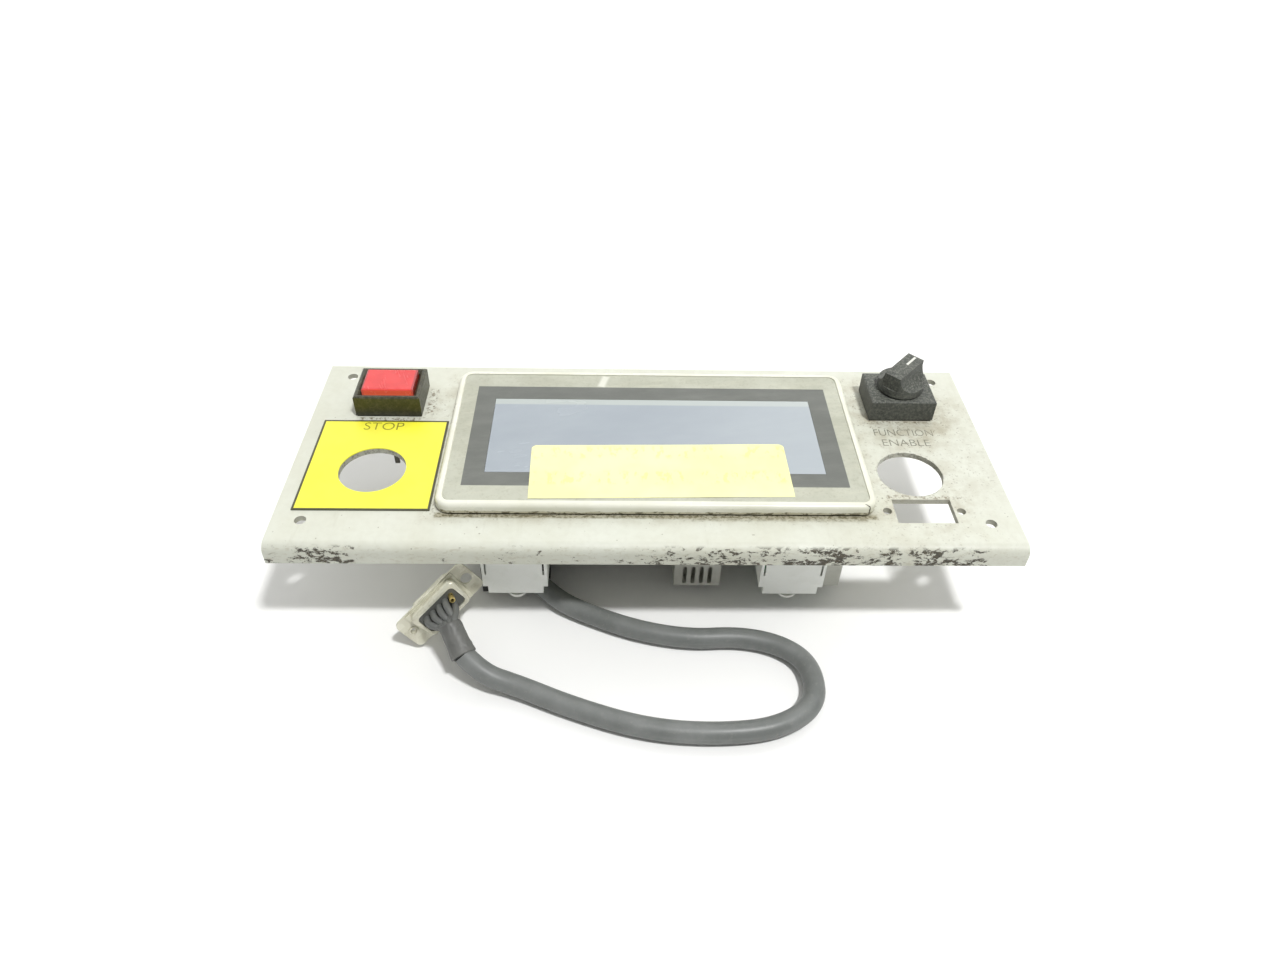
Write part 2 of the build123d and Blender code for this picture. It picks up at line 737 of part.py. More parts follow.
knob_bottom = head_top + guide_clearance
knob_skirt_top = knob_bottom + knob_skirt
knob_top = head_top + knob_height
handle_plane = Plane((selector_x, small_control_y, 0)).rotated((0, 0, -pointer_angle))
handle_side = Plane(
    origin=handle_plane.origin,
    x_dir=handle_plane.x_dir,
    z_dir=-handle_plane.y_dir,
)
slope_plane = Plane(
    origin=handle_plane.from_local_coords(Vector(0, handle_length / 2, knob_top)),
    x_dir=handle_plane.x_dir,
    z_dir=handle_plane.z_dir.rotate(Axis((0, 0, 0), handle_plane.x_dir), knob_slope),
)
with BuildPart() as selector_knob:
    with BuildSketch(handle_side.offset(-handle_length / 2)):
        with BuildLine():
            half = handle_width / 2
            foot = knob_radius - 1.2
            bend_z = knob_top - 2.0
            right = ThreePointArc((foot, knob_skirt_top), (half + 0.9, knob_skirt_top + 2.6), (half, bend_z))
            Line(right @ 1, (half, knob_top))
            Line((half, knob_top), (-half, knob_top))
            Line((-half, knob_top), (-half, bend_z))
            left = ThreePointArc((-half, bend_z), (-half - 0.9, knob_skirt_top + 2.6), (-foot, knob_skirt_top))
            Polyline(left @ 1, (-foot, knob_skirt_top - 1), (foot, knob_skirt_top - 1), right @ 0)
        make_face()
    extrude(amount=handle_length)
    with BuildSketch(Plane((selector_x, small_control_y, knob_bottom))):
        Circle(knob_radius)
    extrude(amount=knob_height + 1, mode=Mode.INTERSECT)
    with BuildSketch(Plane((selector_x, small_control_y, knob_bottom))):
        Circle(knob_radius)
    extrude(amount=knob_skirt)
    ledge_edges = selector_knob.edges().filter_by(GeomType.CIRCLE).group_by(Axis.Z)[0]
    chamfer(ledge_edges, 0.4)
    # the top slopes down from the pointer to the tail of the handle
    with BuildSketch(slope_plane):
        Rectangle(3 * knob_radius, 3 * handle_length)
    extrude(amount=knob_height, mode=Mode.SUBTRACT)
    # groove that holds the pointer line
    with BuildSketch(slope_plane):
        with Locations((0, -pointer_inset)):
            Rectangle(pointer_width, pointer_length)
    extrude(amount=-pointer_depth, mode=Mode.SUBTRACT)
save(selector_knob, "selector_knob")

with BuildPart() as pointer_line:
    with BuildSketch(slope_plane):
        with Locations((0, -pointer_inset)):
            Rectangle(pointer_width, pointer_length)
    extrude(amount=-pointer_depth)
save(pointer_line, "selector_pointer_line")

shaft_reach = 6.5
shaft_bottom = barrel_bottom - shaft_reach
clip_height = 0.8
clip_groove = 0.6
barrel_seat = 1.1
rotor_chamber = barrel_radius - barrel_seat
clip_radius = rotor_chamber - 0.5
clip_gap = 3.0
rotor_slot_width = 2.4
rotor_slot_height = 1.2
clip_z = barrel_bottom - guide_clearance
with BuildPart() as selector_shaft:
    with BuildSketch(Plane((selector_x, small_control_y, knob_bottom))):
        Circle(shaft_radius)
    extrude(amount=shaft_bottom - knob_bottom)
    with BuildSketch(Plane((selector_x, small_control_y, clip_z))):
        Circle(shaft_radius)
        Circle(shaft_radius - clip_groove, mode=Mode.SUBTRACT)
    extrude(amount=-clip_height, mode=Mode.SUBTRACT)
    with BuildSketch(handle_plane.offset(shaft_bottom)):
        Rectangle(rotor_slot_width, 2 * shaft_radius)
    extrude(amount=rotor_slot_height, mode=Mode.SUBTRACT)
save(selector_shaft, "selector_shaft")

with BuildPart() as retaining_clip:
    with BuildSketch(Plane((selector_x, small_control_y, clip_z))):
        Circle(clip_radius)
        Circle(shaft_radius - clip_groove, mode=Mode.SUBTRACT)
        with Locations((shaft_radius, 0)):
            Rectangle(4 * (clip_radius - shaft_radius), clip_gap, mode=Mode.SUBTRACT)
    extrude(amount=-clip_height)
save(retaining_clip, "selector_retaining_clip")

bridge_reach = rotor_chamber - 0.9
with BuildPart() as selector_bridge:
    with BuildSketch(handle_plane.offset(shaft_bottom)):
        Rectangle(rotor_slot_width, 2 * bridge_reach)
    extrude(amount=rotor_slot_height)
save(selector_bridge, "selector_contact_bridge")

rotor_floor = 2.0
with BuildPart() as selector_block:
    with BuildSketch(Plane((selector_x, small_control_y, block_bottom))):
        Rectangle(block_width, block_width)
    extrude(amount=barrel_bottom - block_bottom)
    with BuildSketch(Plane((selector_x, small_control_y, barrel_bottom))):
        Circle(rotor_chamber)
    extrude(amount=block_bottom + rotor_floor - barrel_bottom, mode=Mode.SUBTRACT)
save(selector_block, "selector_contact_block")

with BuildPart() as selector_fixed_contacts:
    with BuildSketch(Plane((selector_x, small_control_y, block_bottom + rotor_floor))):
        with PolarLocations(bridge_reach - 0.4, 4, start_angle=45):
            Rectangle(1.8, 2.2)
    extrude(amount=shaft_bottom - guide_clearance - block_bottom - rotor_floor)
save(selector_fixed_contacts, "selector_fixed_contacts")

ball_x = selector_x + shaft_radius + guide_clearance + detent_radius
with BuildPart() as detent_ball:
    with Locations((ball_x, small_control_y, detent_z)):
        Sphere(detent_radius)
save(detent_ball, "selector_detent_ball")

pocket_end = selector_x + head_width / 2 - pocket_wall
detent_wire = 0.15
detent_coil_length = pocket_end - ball_x - detent_radius - 2 * detent_wire
with BuildPart() as detent_spring:
    with BuildLine():
        coil = Helix(
            pitch=detent_coil_length / 4,
            height=detent_coil_length,
            radius=detent_radius - 0.3,
            center=(ball_x + detent_radius + detent_wire, small_control_y, detent_z),
            direction=(1, 0, 0),
        )
    with BuildSketch(Plane(origin=coil @ 0, z_dir=coil % 0)):
        Circle(detent_wire)
    sweep(is_frenet=True)
save(detent_spring, "selector_detent_spring")

# Data cable: hooded plug on the terminal's port, the free cable, and the connector at its end

hood_back = foot_front - port_flange_sheet - mating_reach
hood_front = hood_back - hood_depth
hood_corner = 6.0
nose_radius = cable_radius + 0.8
nose_start = Vector(hood_x + hood_width / 2 - 4.6, hood_front + 4.6, 7.0)
cable_points = [
    (-38.4, -29.2, 6.0),
    (-32.0, -35.4, 4.2),
    (-20.0, -41.8, 3.7),
    (-3.0, -49.0, 3.7),
    (15.0, -52.6, 3.7),
    (31.5, -51.4, 3.7),
    (45.5, -54.8, 3.7),
    (54.6, -62.8, 3.7),
    (55.0, -78.3, 3.7),
    (42.0, -87.6, 3.7),
    (22.0, -90.0, 3.7),
    (-1.0, -88.2, 3.7),
    (-24.0, -80.4, 3.7),
    (-43.0, -72.0, 4.3),
    (-54.5, -69.5, 7.0),
    (-60.5, -65.4, 12.2),
]
corners = [Vector(*point) for point in cable_points]
cable_radii = []
for before, corner, after in zip(corners, corners[1:], corners[2:]):
    turn = (corner - before).get_angle(after - corner)
    shorter = min((corner - before).length, (after - corner).length)
    # FilletPolyline wants the radius whose arc ends 0.45 of the shorter run from the corner
    half_turn = Vector(1, 0, 0).rotate(Axis.Z, turn / 2)
    cable_radii.append(0.45 * shorter * half_turn.X / half_turn.Y)
print("cable bend radii", [round(radius, 1) for radius in cable_radii])

with BuildPart() as cable:
    with BuildLine():
        route = FilletPolyline(*corners, radius=cable_radii)
    with BuildSketch(Plane(origin=route @ 0, z_dir=route % 0)):
        Circle(cable_radius)
    sweep()
save(cable, "cable")
section_area = 3.14159265 * cable_radius**2
print("cable length", round(route.length, 1))
print("volume over section times length", round(cable.part.volume / (section_area * route.length), 4))

nose_axis = (corners[1] - corners[0]).normalized()
hood_plane = Plane((hood_x, (hood_back + hood_front) / 2, port_z - hood_height / 2))
with BuildPart() as port_hood:
    with BuildSketch(hood_plane):
        Rectangle(hood_width, hood_depth)
    extrude(amount=hood_height)
    hood_uprights = port_hood.edges().filter_by(Axis.Z)
    exit_corner = hood_uprights.sort_by_distance((hood_x + hood_width / 2, hood_front, port_z))[0]
    chamfer(exit_corner, hood_corner)
    fillet(port_hood.edges().group_by(Axis.Z)[-1], 1.0)
    with BuildSketch(Plane(origin=corners[0], z_dir=nose_axis)):
        Circle(nose_radius)
    extrude(amount=-8.0)
save(port_hood, "port_plug_hood")

sleeve_axis = (sleeve_end - sleeve_start).normalized()
sleeve_radius = cable_radius + 0.3
with BuildPart() as cable_sleeve:
    with BuildSketch(Plane(origin=sleeve_start, z_dir=sleeve_axis)):
        Circle(sleeve_radius - 0.2)
    with BuildSketch(Plane(origin=sleeve_end + sleeve_axis * 1.0, z_dir=sleeve_axis)):
        Circle(sleeve_radius)
    loft()
save(cable_sleeve, "cable_sleeve")

connector_plane = Plane(origin=connector_centre, x_dir=connector_along, z_dir=connector_facing)
pin_pitch = 2.77
row_pitch = 2.84
cup_start = 4.3
cup_length = 3.5
cup_radius = 0.95
shell_sheet = 0.9
shell_step = 1.6
shell_height = 4.6
shell_hole_radius = 2.0
insert_hole_radius = 1.7
recess_width = 15.8
recess_depth = 7.6
mating_length = 5.8
mating_wall = 0.8
insulator_gap = 0.2


def d_outline(width, depth):
    """Adds the rounded D outline of the connector to the active sketch."""
    lean = 0.9
    Polygon(
        (-width / 2, depth / 2),
        (width / 2, depth / 2),
        (width / 2 - lean, -depth / 2),
        (-width / 2 + lean, -depth / 2),
        align=None,
    )


with BuildPart() as connector_shell:
    with BuildSketch(connector_plane):
        RectangleRounded(flange_length, flange_depth, 2.0)
    extrude(amount=shell_sheet)
    with BuildSketch(connector_plane):
        d_outline(21.4, 11.9)
    extrude(amount=shell_step)
    with BuildSketch(connector_plane):
        d_outline(19.4, 10.6)
    extrude(amount=shell_height)
    with BuildSketch(connector_plane):
        d_outline(mating_width, mating_depth)
    extrude(amount=-mating_length)
    upright_edges = connector_shell.edges().filter_by(Axis(connector_centre, connector_plane.z_dir))
    outline_edges = [edge for edge in upright_edges if edge.length > 2.0]
    fillet(outline_edges, 1.6)
    lip_edges = connector_shell.faces().sort_by(Axis(connector_centre, connector_plane.z_dir))[-1].edges()
    fillet(lip_edges, 0.9)
    with BuildSketch(connector_plane.offset(shell_height)):
        RectangleRounded(recess_width, recess_depth, 1.5)
    extrude(amount=shell_sheet - insulator_gap - shell_height, mode=Mode.SUBTRACT)
    with BuildSketch(connector_plane.offset(-mating_length)):
        RectangleRounded(mating_width - 2 * mating_wall - 0.2, mating_depth - 1.2, 1.5)
    extrude(amount=mating_length + shell_sheet, mode=Mode.SUBTRACT)
    with BuildSketch(connector_plane):
        with Locations((port_screw_spacing / 2, 0)):
            Circle(shell_hole_radius)
        with Locations((-port_screw_spacing / 2, 0)):
            Circle(insert_hole_radius)
    extrude(amount=shell_sheet, mode=Mode.SUBTRACT)
save(connector_shell, "connector_shell")

insulator_low = shell_sheet - insulator_gap
with BuildPart() as connector_insulator:
    with BuildSketch(connector_plane.offset(insulator_low)):
        RectangleRounded(recess_width - 2 * insulator_gap, recess_depth - 2 * insulator_gap, 1.3)
    extrude(amount=cup_start - insulator_low)
    with BuildSketch(connector_plane.offset(insulator_low)):
        RectangleRounded(14.8, 6.8, 1.3)
    extrude(amount=-mating_length)
save(connector_insulator, "connector_insulator")

cup_spots = [(pin_pitch * (i - 2), row_pitch / 2) for i in range(5)]
cup_spots += [(pin_pitch * (i - 1.5), -row_pitch / 2) for i in range(4)]
with BuildPart() as connector_contacts:
    with BuildSketch(connector_plane.offset(cup_start)):
        with Locations(cup_spots):
            Circle(cup_radius)
            Circle(cup_radius - 0.3, mode=Mode.SUBTRACT)
    extrude(amount=cup_length)
save(connector_contacts, "connector_contacts")

insert_proud = 0.3
insert_collar = 1.6
insert_rim = 1.0
insert_thread_radius = 1.1
with BuildPart() as connector_insert:
    with BuildSketch(connector_plane):
        with Locations((-port_screw_spacing / 2, 0)):
            Circle(insert_hole_radius - running_clearance)
    extrude(amount=shell_sheet + insert_proud)
    with BuildSketch(connector_plane):
        with Locations((-port_screw_spacing / 2, 0)):
            Circle(insert_hole_radius + insert_rim)
    extrude(amount=-insert_collar)
    with BuildSketch(connector_plane.offset(-insert_collar)):
        with Locations((-port_screw_spacing / 2, 0)):
            Circle(insert_thread_radius)
    extrude(amount=insert_collar + shell_sheet + insert_proud, mode=Mode.SUBTRACT)
save(connector_insert, "connector_insert")

wire_radius = 0.62
wired_cups = [spot for spot in cup_spots if spot != cup_spots[4]]
sleeve_mouth = Plane(origin=sleeve_start, x_dir=connector_along, z_dir=sleeve_axis)
with BuildPart() as connector_wires:
    for number, spot in enumerate(wired_cups):
        start = connector_plane.from_local_coords(Vector(spot[0], spot[1], cup_start + 1.2))
        row = number // 4
        column = number % 4
        end = sleeve_mouth.from_local_coords(Vector(1.45 * (column - 1.5), 1.6 * (0.5 - row), 0))
        with BuildSketch(Plane(origin=start, z_dir=end - start)):
            Circle(wire_radius)
        extrude(amount=(end - start).length)
save(connector_wires, "connector_wires")
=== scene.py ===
import math

import bpy
from mathutils import Matrix, Vector


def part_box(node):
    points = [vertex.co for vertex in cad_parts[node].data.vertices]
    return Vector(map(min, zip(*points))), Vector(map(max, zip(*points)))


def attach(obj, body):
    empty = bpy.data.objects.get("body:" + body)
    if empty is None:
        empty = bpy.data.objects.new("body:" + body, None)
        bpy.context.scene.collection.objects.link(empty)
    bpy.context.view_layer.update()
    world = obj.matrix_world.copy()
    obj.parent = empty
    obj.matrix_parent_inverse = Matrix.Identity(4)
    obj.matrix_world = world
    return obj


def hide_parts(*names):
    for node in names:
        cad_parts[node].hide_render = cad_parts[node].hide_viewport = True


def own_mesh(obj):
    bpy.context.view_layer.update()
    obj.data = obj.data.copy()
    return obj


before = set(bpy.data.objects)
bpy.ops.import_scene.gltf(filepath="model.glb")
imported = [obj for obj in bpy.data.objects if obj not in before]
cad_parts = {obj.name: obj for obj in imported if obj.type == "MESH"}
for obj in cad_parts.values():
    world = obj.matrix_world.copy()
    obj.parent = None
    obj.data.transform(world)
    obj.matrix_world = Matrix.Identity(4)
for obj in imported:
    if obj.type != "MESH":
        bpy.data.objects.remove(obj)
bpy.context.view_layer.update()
bpy.ops.object.select_all(action="DESELECT")
print("frame loaded with", len(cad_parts), "nodes")

cameraLook = {
    "place": (-0.0124, -0.2479, 0.2536),
    "heading": -2.36,      # degrees, turned a little to the right of straight ahead
    "tilt": 47.98,         # degrees up from looking straight down
    "roll": 1.97,
    "lens": 25.54,
}
cameraData = bpy.data.cameras.new("studioCamera")
cameraData.lens = cameraLook["lens"]
cameraData.sensor_width = 36.0
cameraData.clip_start = 0.01
studioCamera = bpy.data.objects.new("studioCamera", cameraData)
bpy.context.scene.collection.objects.link(studioCamera)
studioCamera.matrix_world = (
    Matrix.Translation(cameraLook["place"])
    @ Matrix.Rotation(math.radians(cameraLook["heading"]), 4, "Z")
    @ Matrix.Rotation(math.radians(cameraLook["tilt"]), 4, "X")
    @ Matrix.Rotation(math.radians(cameraLook["roll"]), 4, "Z")
)
bpy.context.scene.camera = studioCamera
bpy.context.scene.view_settings.view_transform = "Standard"
print("camera placed")

cableLook = {
    "radius": 0.0036,
    "length": 0.240,
    "route": [
        (-0.0384, -0.0292, 0.0060),
        (-0.0320, -0.0354, 0.0042),
        (-0.0200, -0.0418, 0.0037),
        (-0.0030, -0.0490, 0.0037),
        (0.0150, -0.0526, 0.0037),
        (0.0315, -0.0514, 0.0037),
        (0.0455, -0.0548, 0.0037),
        (0.0546, -0.0628, 0.0037),
        (0.0550, -0.0783, 0.0037),
        (0.0420, -0.0876, 0.0037),
        (0.0220, -0.0900, 0.0037),
        (-0.0010, -0.0882, 0.0037),
        (-0.0240, -0.0804, 0.0037),
        (-0.0430, -0.0720, 0.0043),
        (-0.0545, -0.0695, 0.0070),
        (-0.0605, -0.0654, 0.0122),
    ],
}


def smoothCurve(name, points, radius, sides=6):
    # one open spline that runs smoothly along its control points
    data = bpy.data.curves.new(name, "CURVE")
    data.dimensions = "3D"
    spline = data.splines.new("NURBS")
    spline.points.add(len(points) - 1)
    for point, place in zip(spline.points, points):
        point.co = (*place, 1.0)
        point.radius = radius      # so the tube's depth below is one
    spline.order_u = 3
    spline.use_endpoint_u = True
    spline.resolution_u = 10
    data.bevel_depth = 1.0
    data.bevel_resolution = sides
    data.use_fill_caps = True
    piece = bpy.data.objects.new(name, data)
    bpy.context.scene.collection.objects.link(piece)
    return piece


dataCable = smoothCurve("dataCable", cableLook["route"], cableLook["radius"])
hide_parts("cable")
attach(dataCable, "panel")
print("cable laid")


def startMaterial(name):
    material = bpy.data.materials.new(name)
    material.use_nodes = True
    tree = material.node_tree
    return material, tree, tree.nodes["Principled BSDF"]


def feed(tree, value, socket):
    if isinstance(value, bpy.types.NodeSocket):
        tree.links.new(value, socket)
    else:
        socket.default_value = value


def placed(tree, centre=(0, 0, 0), size=(1, 1, 1), turn=0.0):
    # object coordinates, moved to a centre and measured in its own size
    coords = tree.nodes.new("ShaderNodeTexCoord")
    mapping = tree.nodes.new("ShaderNodeMapping")
    mapping.vector_type = "TEXTURE"
    mapping.inputs["Location"].default_value = centre
    mapping.inputs["Rotation"].default_value = (0, 0, math.radians(turn))
    mapping.inputs["Scale"].default_value = size
    tree.links.new(coords.outputs["Object"], mapping.inputs["Vector"])
    return mapping.outputs["Vector"]


def parts(tree, vector):
    split = tree.nodes.new("ShaderNodeSeparateXYZ")
    tree.links.new(vector, split.inputs["Vector"])
    return split.outputs["X"], split.outputs["Y"], split.outputs["Z"]


def facing(tree):
    coords = tree.nodes.new("ShaderNodeTexCoord")
    return parts(tree, coords.outputs["Normal"])


def calc(tree, operation, a, b=0.0):
    node = tree.nodes.new("ShaderNodeMath")
    node.operation = operation
    feed(tree, a, node.inputs[0])
    feed(tree, b, node.inputs[1])
    return node.outputs["Value"]


def times(tree, a, b):
    return calc(tree, "MULTIPLY", a, b)


def plus(tree, a, b):
    return calc(tree, "ADD", a, b)


def less(tree, a, b):
    return calc(tree, "SUBTRACT", a, b)


def larger(tree, a, b):
    return calc(tree, "MAXIMUM", a, b)


def unsigned(tree, a):
    return calc(tree, "ABSOLUTE", a)


def fade(tree, value, start, end):
    # nought at start, one at end, smooth between them
    node = tree.nodes.new("ShaderNodeMapRange")
    node.interpolation_type = "SMOOTHSTEP"
    feed(tree, value, node.inputs["Value"])
    node.inputs["From Min"].default_value = start
    node.inputs["From Max"].default_value = end
    return node.outputs["Result"]


def clouds(tree, vector, scale, detail=3.0, rough=0.55, twist=0.0):
    node = tree.nodes.new("ShaderNodeTexNoise")
    tree.links.new(vector, node.inputs["Vector"])
    node.inputs["Scale"].default_value = scale
    node.inputs["Detail"].default_value = detail
    node.inputs["Roughness"].default_value = rough
    node.inputs["Distortion"].default_value = twist
    return node.outputs["Fac"]


def cells(tree, vector, scale):
    node = tree.nodes.new("ShaderNodeTexVoronoi")
    tree.links.new(vector, node.inputs["Vector"])
    node.inputs["Scale"].default_value = scale
    return node


def blendColour(tree, amount, a, b):
    node = tree.nodes.new("ShaderNodeMix")
    node.data_type = "RGBA"
    feed(tree, amount, node.inputs[0])
    feed(tree, (*a, 1.0) if isinstance(a, tuple) else a, node.inputs[6])
    feed(tree, (*b, 1.0) if isinstance(b, tuple) else b, node.inputs[7])
    return node.outputs[2]


def layOver(tree, mask, share, colour, over):
    # puts a share of another colour over this one where the mask is one
    return blendColour(tree, times(tree, mask, share), colour, over)


def blendValue(tree, amount, a, b):
    node = tree.nodes.new("ShaderNodeMix")
    feed(tree, amount, node.inputs[0])
    feed(tree, a, node.inputs[2])
    feed(tree, b, node.inputs[3])
    return node.outputs[0]


def relief(tree, height, distance, strength):
    node = tree.nodes.new("ShaderNodeBump")
    node.inputs["Strength"].default_value = strength
    node.inputs["Distance"].default_value = distance
    tree.links.new(height, node.inputs["Height"])
    return node.outputs["Normal"]


def inRectangle(tree, centre, half, soft, turn=0.0):
    # one inside the rectangle and nought outside, with a soft edge in metres
    x, y, _ = parts(tree, placed(tree, (*centre, 0.0), turn=turn))
    outX = less(tree, unsigned(tree, x), half[0])
    outY = less(tree, unsigned(tree, y), half[1])
    return fade(tree, larger(tree, outX, outY), soft / 2, -soft / 2)


def fromAbove(tree, centre):
    # distance from a place, seen from above
    x, y, _ = parts(tree, placed(tree, (*centre, 0.0)))
    return calc(tree, "SQRT", plus(tree, calc(tree, "POWER", x, 2.0), calc(tree, "POWER", y, 2.0)))


def nearSpot(tree, centre, reach, core):
    # one at the spot, fading to nought at reach, seen from above
    length = fromAbove(tree, centre)
    return fade(tree, length, reach, core)


def onRing(tree, centre, radius, width):
    # one along a circle's line, seen from above
    length = fromAbove(tree, centre)
    off = unsigned(tree, less(tree, length, radius))
    return fade(tree, off, width, width * 0.3)


panelLook = {
    "paint": (0.66, 0.675, 0.595),
    "paintAged": (0.60, 0.605, 0.505),
    "grime": (0.30, 0.25, 0.15),
    "rust": (0.074, 0.070, 0.056),
    "cutEdge": (0.30, 0.29, 0.235),
    "holes": [(-0.0947, -0.0125), (0.0917, -0.0125)],
    "holeRadius": 0.0114,
    "stains": [            # where, how far it spreads, its core and its strength
        ((0.0970, 0.0200), 0.034, 0.010, 1.0),
        ((0.0920, -0.0230), 0.030, 0.010, 0.8),
        ((0.0850, 0.0300), 0.020, 0.006, 0.9),
        ((-0.0800, 0.0240), 0.016, 0.004, 0.7),
        ((0.1120, -0.0100), 0.030, 0.004, 0.45),
        ((0.0900, -0.0440), 0.040, 0.006, 0.35),
    ],
    "residue": [
        ((-0.0944, 0.0157), (0.0115, 0.0010), 0.9),
        ((-0.0800, 0.0265), (0.0016, 0.0080), 0.8),
        ((-0.0708, -0.0030), (0.0008, 0.0300), 0.6),
        ((0.0935, 0.0163), (0.0125, 0.0010), 0.6),
        ((0.0940, -0.0244), (0.0130, 0.0010), 0.7),
    ],
    "mottle": (0.46, 0.45, 0.36),
    "speck": (0.16, 0.13, 0.08),
    "dot": (0.20, 0.18, 0.12),
    "scrap": (0.17, 0.13, 0.075),
    # grime with painted shade along the terminal's front edge
    "edgeGrimeAndShade": (0.30, 0.26, 0.14),
    "edgeCrumb": (0.100, 0.086, 0.036),
    # painted shade for the front flange's upright face
    "shadedFace": (0.30, 0.31, 0.25),
    "streak": (0.36, 0.34, 0.24),
    "scuff": (0.34, 0.30, 0.20),
    "rustPale": (0.115, 0.100, 0.072),
    "terminalCentre": (0.0025, 0.0034),
    "terminalHalf": (0.0775, 0.0410),
}


def panelPaint():
    material, tree, shader = startMaterial("wornPanelPaint")
    here = placed(tree)
    x, y, z = parts(tree, here)
    _, _, faceZ = facing(tree)
    aged = fade(tree, clouds(tree, here, 22, 4, 0.6), 0.35, 0.75)
    colour = blendColour(tree, aged, panelLook["paint"], panelLook["paintAged"])
    mottle = fade(tree, clouds(tree, here, 420, 3), 0.3, 0.8)
    colour = layOver(tree, mottle, 0.16, colour, panelLook["mottle"])
    # soiled places: round the selector, the spare hole, the button and the terminal
    soiled = 0.0
    for spot, reach, core, amount in panelLook["stains"]:
        soiled = larger(tree, times(tree, nearSpot(tree, spot, reach, core), amount), soiled)
    rim = inRectangle(tree, panelLook["terminalCentre"], panelLook["terminalHalf"], 0.006)
    soiled = larger(tree, soiled, times(tree, rim, 0.55))
    patches = fade(tree, clouds(tree, here, 130, 5, 0.7), 0.36, 0.70)
    colour = layOver(tree, times(tree, soiled, patches), 0.6, colour, panelLook["grime"])
    specks = fade(tree, clouds(tree, here, 1100, 2), 0.62, 0.70)
    colour = layOver(tree, times(tree, specks, soiled), 0.75, colour, panelLook["speck"])
    dots = fade(tree, clouds(tree, here, 760, 1), 0.765, 0.78)
    colour = layOver(tree, dots, 0.6, colour, panelLook["dot"])
    # scraps of old sealant that the button, the selector and the terminal left on the paint
    scraps = fade(tree, clouds(tree, here, 620, 4, 0.75), 0.50, 0.58)
    for centre, half, amount in panelLook["residue"]:
        line = times(tree, inRectangle(tree, centre, half, 0.0010), scraps)
        colour = blendColour(tree, times(tree, line, amount), colour, panelLook["scrap"])
    # grime and painted shade along the terminal's front edge, widest towards the right; the crumbs in it are
    # dirt
    edge = inRectangle(tree, (0.0025, -0.0343), (0.0730, 0.0011), 0.0012)
    wide = inRectangle(tree, (0.0430, -0.0352), (0.0290, 0.0012), 0.0016)
    crumbs = fade(tree, clouds(tree, placed(tree, size=(1.6, 1.0, 1.0)), 1000, 4, 0.7), 0.46, 0.56)
    edge = larger(tree, edge, times(tree, wide, 0.6))
    colour = layOver(tree, edge, 0.55, colour, panelLook["edgeGrimeAndShade"])
    colour = layOver(tree, times(tree, edge, crumbs), 0.75, colour, panelLook["edgeCrumb"])
    # painted shade: the upright face is painted darker, most of all towards the left
    uprightShade = times(tree, fade(tree, z, 0.0441, 0.0425), fade(tree, y, -0.0475, -0.0484))
    uprightShade = times(tree, uprightShade, blendValue(tree, fade(tree, x, -0.02, 0.08), 0.22, 0.06))
    colour = blendColour(tree, uprightShade, colour, panelLook["shadedFace"])
    streaks = fade(tree, clouds(tree, placed(tree, size=(1.0, 6.0, 1.0)), 260, 3, 0.7), 0.56, 0.76)
    colour = layOver(tree, streaks, 0.14, colour, panelLook["streak"])
    # paint knocked off along the front bend, thickest right of the middle
    bend = times(tree, fade(tree, y, -0.0468, -0.0480), fade(tree, z, 0.0450, 0.0434))
    lowEdge = fade(tree, z, 0.0415, 0.0385)
    thick = times(tree, fade(tree, x, -0.030, 0.045), fade(tree, x, 0.115, 0.100))
    thick = larger(tree, thick, times(tree, fade(tree, x, -0.088, -0.104), 0.75))
    chance = plus(tree, times(tree, thick, 0.125), times(tree, lowEdge, 0.035))
    knocks = clouds(tree, placed(tree, size=(1.8, 1.0, 1.0)), 520, 6, 0.76, 0.4)
    groups = times(tree, less(tree, clouds(tree, placed(tree, size=(1.0, 1.0, 4.0)), 75, 2), 0.5), 0.32)
    chips = plus(tree, plus(tree, knocks, groups), chance)
    chips = times(tree, fade(tree, chips, 0.640, 0.662), bend)
    drawnOut = clouds(tree, placed(tree, size=(2.4, 1.0, 1.0)), 900, 4, 0.7)
    scuffs = times(tree, fade(tree, drawnOut, 0.52, 0.66), bend)
    colour = layOver(tree, scuffs, 0.35, colour, panelLook["scuff"])
    # bare and rusty rims of the holes, and the sheet's cut edges
    rims = onRing(tree, panelLook["holes"][0], panelLook["holeRadius"], 0.0004)
    rims = larger(tree, rims, onRing(tree, panelLook["holes"][1], panelLook["holeRadius"], 0.0005))
    broken = fade(tree, clouds(tree, here, 700, 4, 0.7), 0.45, 0.6)
    rims = times(tree, rims, broken)
    sideways = fade(tree, unsigned(tree, faceZ), 0.5, 0.2)
    walls = times(tree, sideways, fade(tree, y, -0.0478, -0.0470))
    rusty = fade(tree, clouds(tree, here, 500, 4, 0.7), 0.5, 0.8)
    wallColour = blendColour(tree, rusty, panelLook["cutEdge"], panelLook["rust"])
    colour = layOver(tree, walls, 0.6, colour, wallColour)
    bare = larger(tree, chips, times(tree, rims, 0.5))
    pale = fade(tree, clouds(tree, here, 900, 3), 0.35, 0.7)
    rustColour = blendColour(tree, pale, panelLook["rust"], panelLook["rustPale"])
    colour = blendColour(tree, bare, colour, rustColour)
    tree.links.new(colour, shader.inputs["Base Color"])
    rough = blendValue(tree, bare, blendValue(tree, aged, 0.42, 0.55), 0.85)
    tree.links.new(rough, shader.inputs["Roughness"])
    peel = times(tree, clouds(tree, here, 1400, 2), 0.25)
    tree.links.new(relief(tree, less(tree, peel, bare), 0.00012, 0.7), shader.inputs["Normal"])
    return material


legendLook = {"centre": (-0.0947, -0.0090), "half": (0.0225, 0.0235), "line": 0.00075}


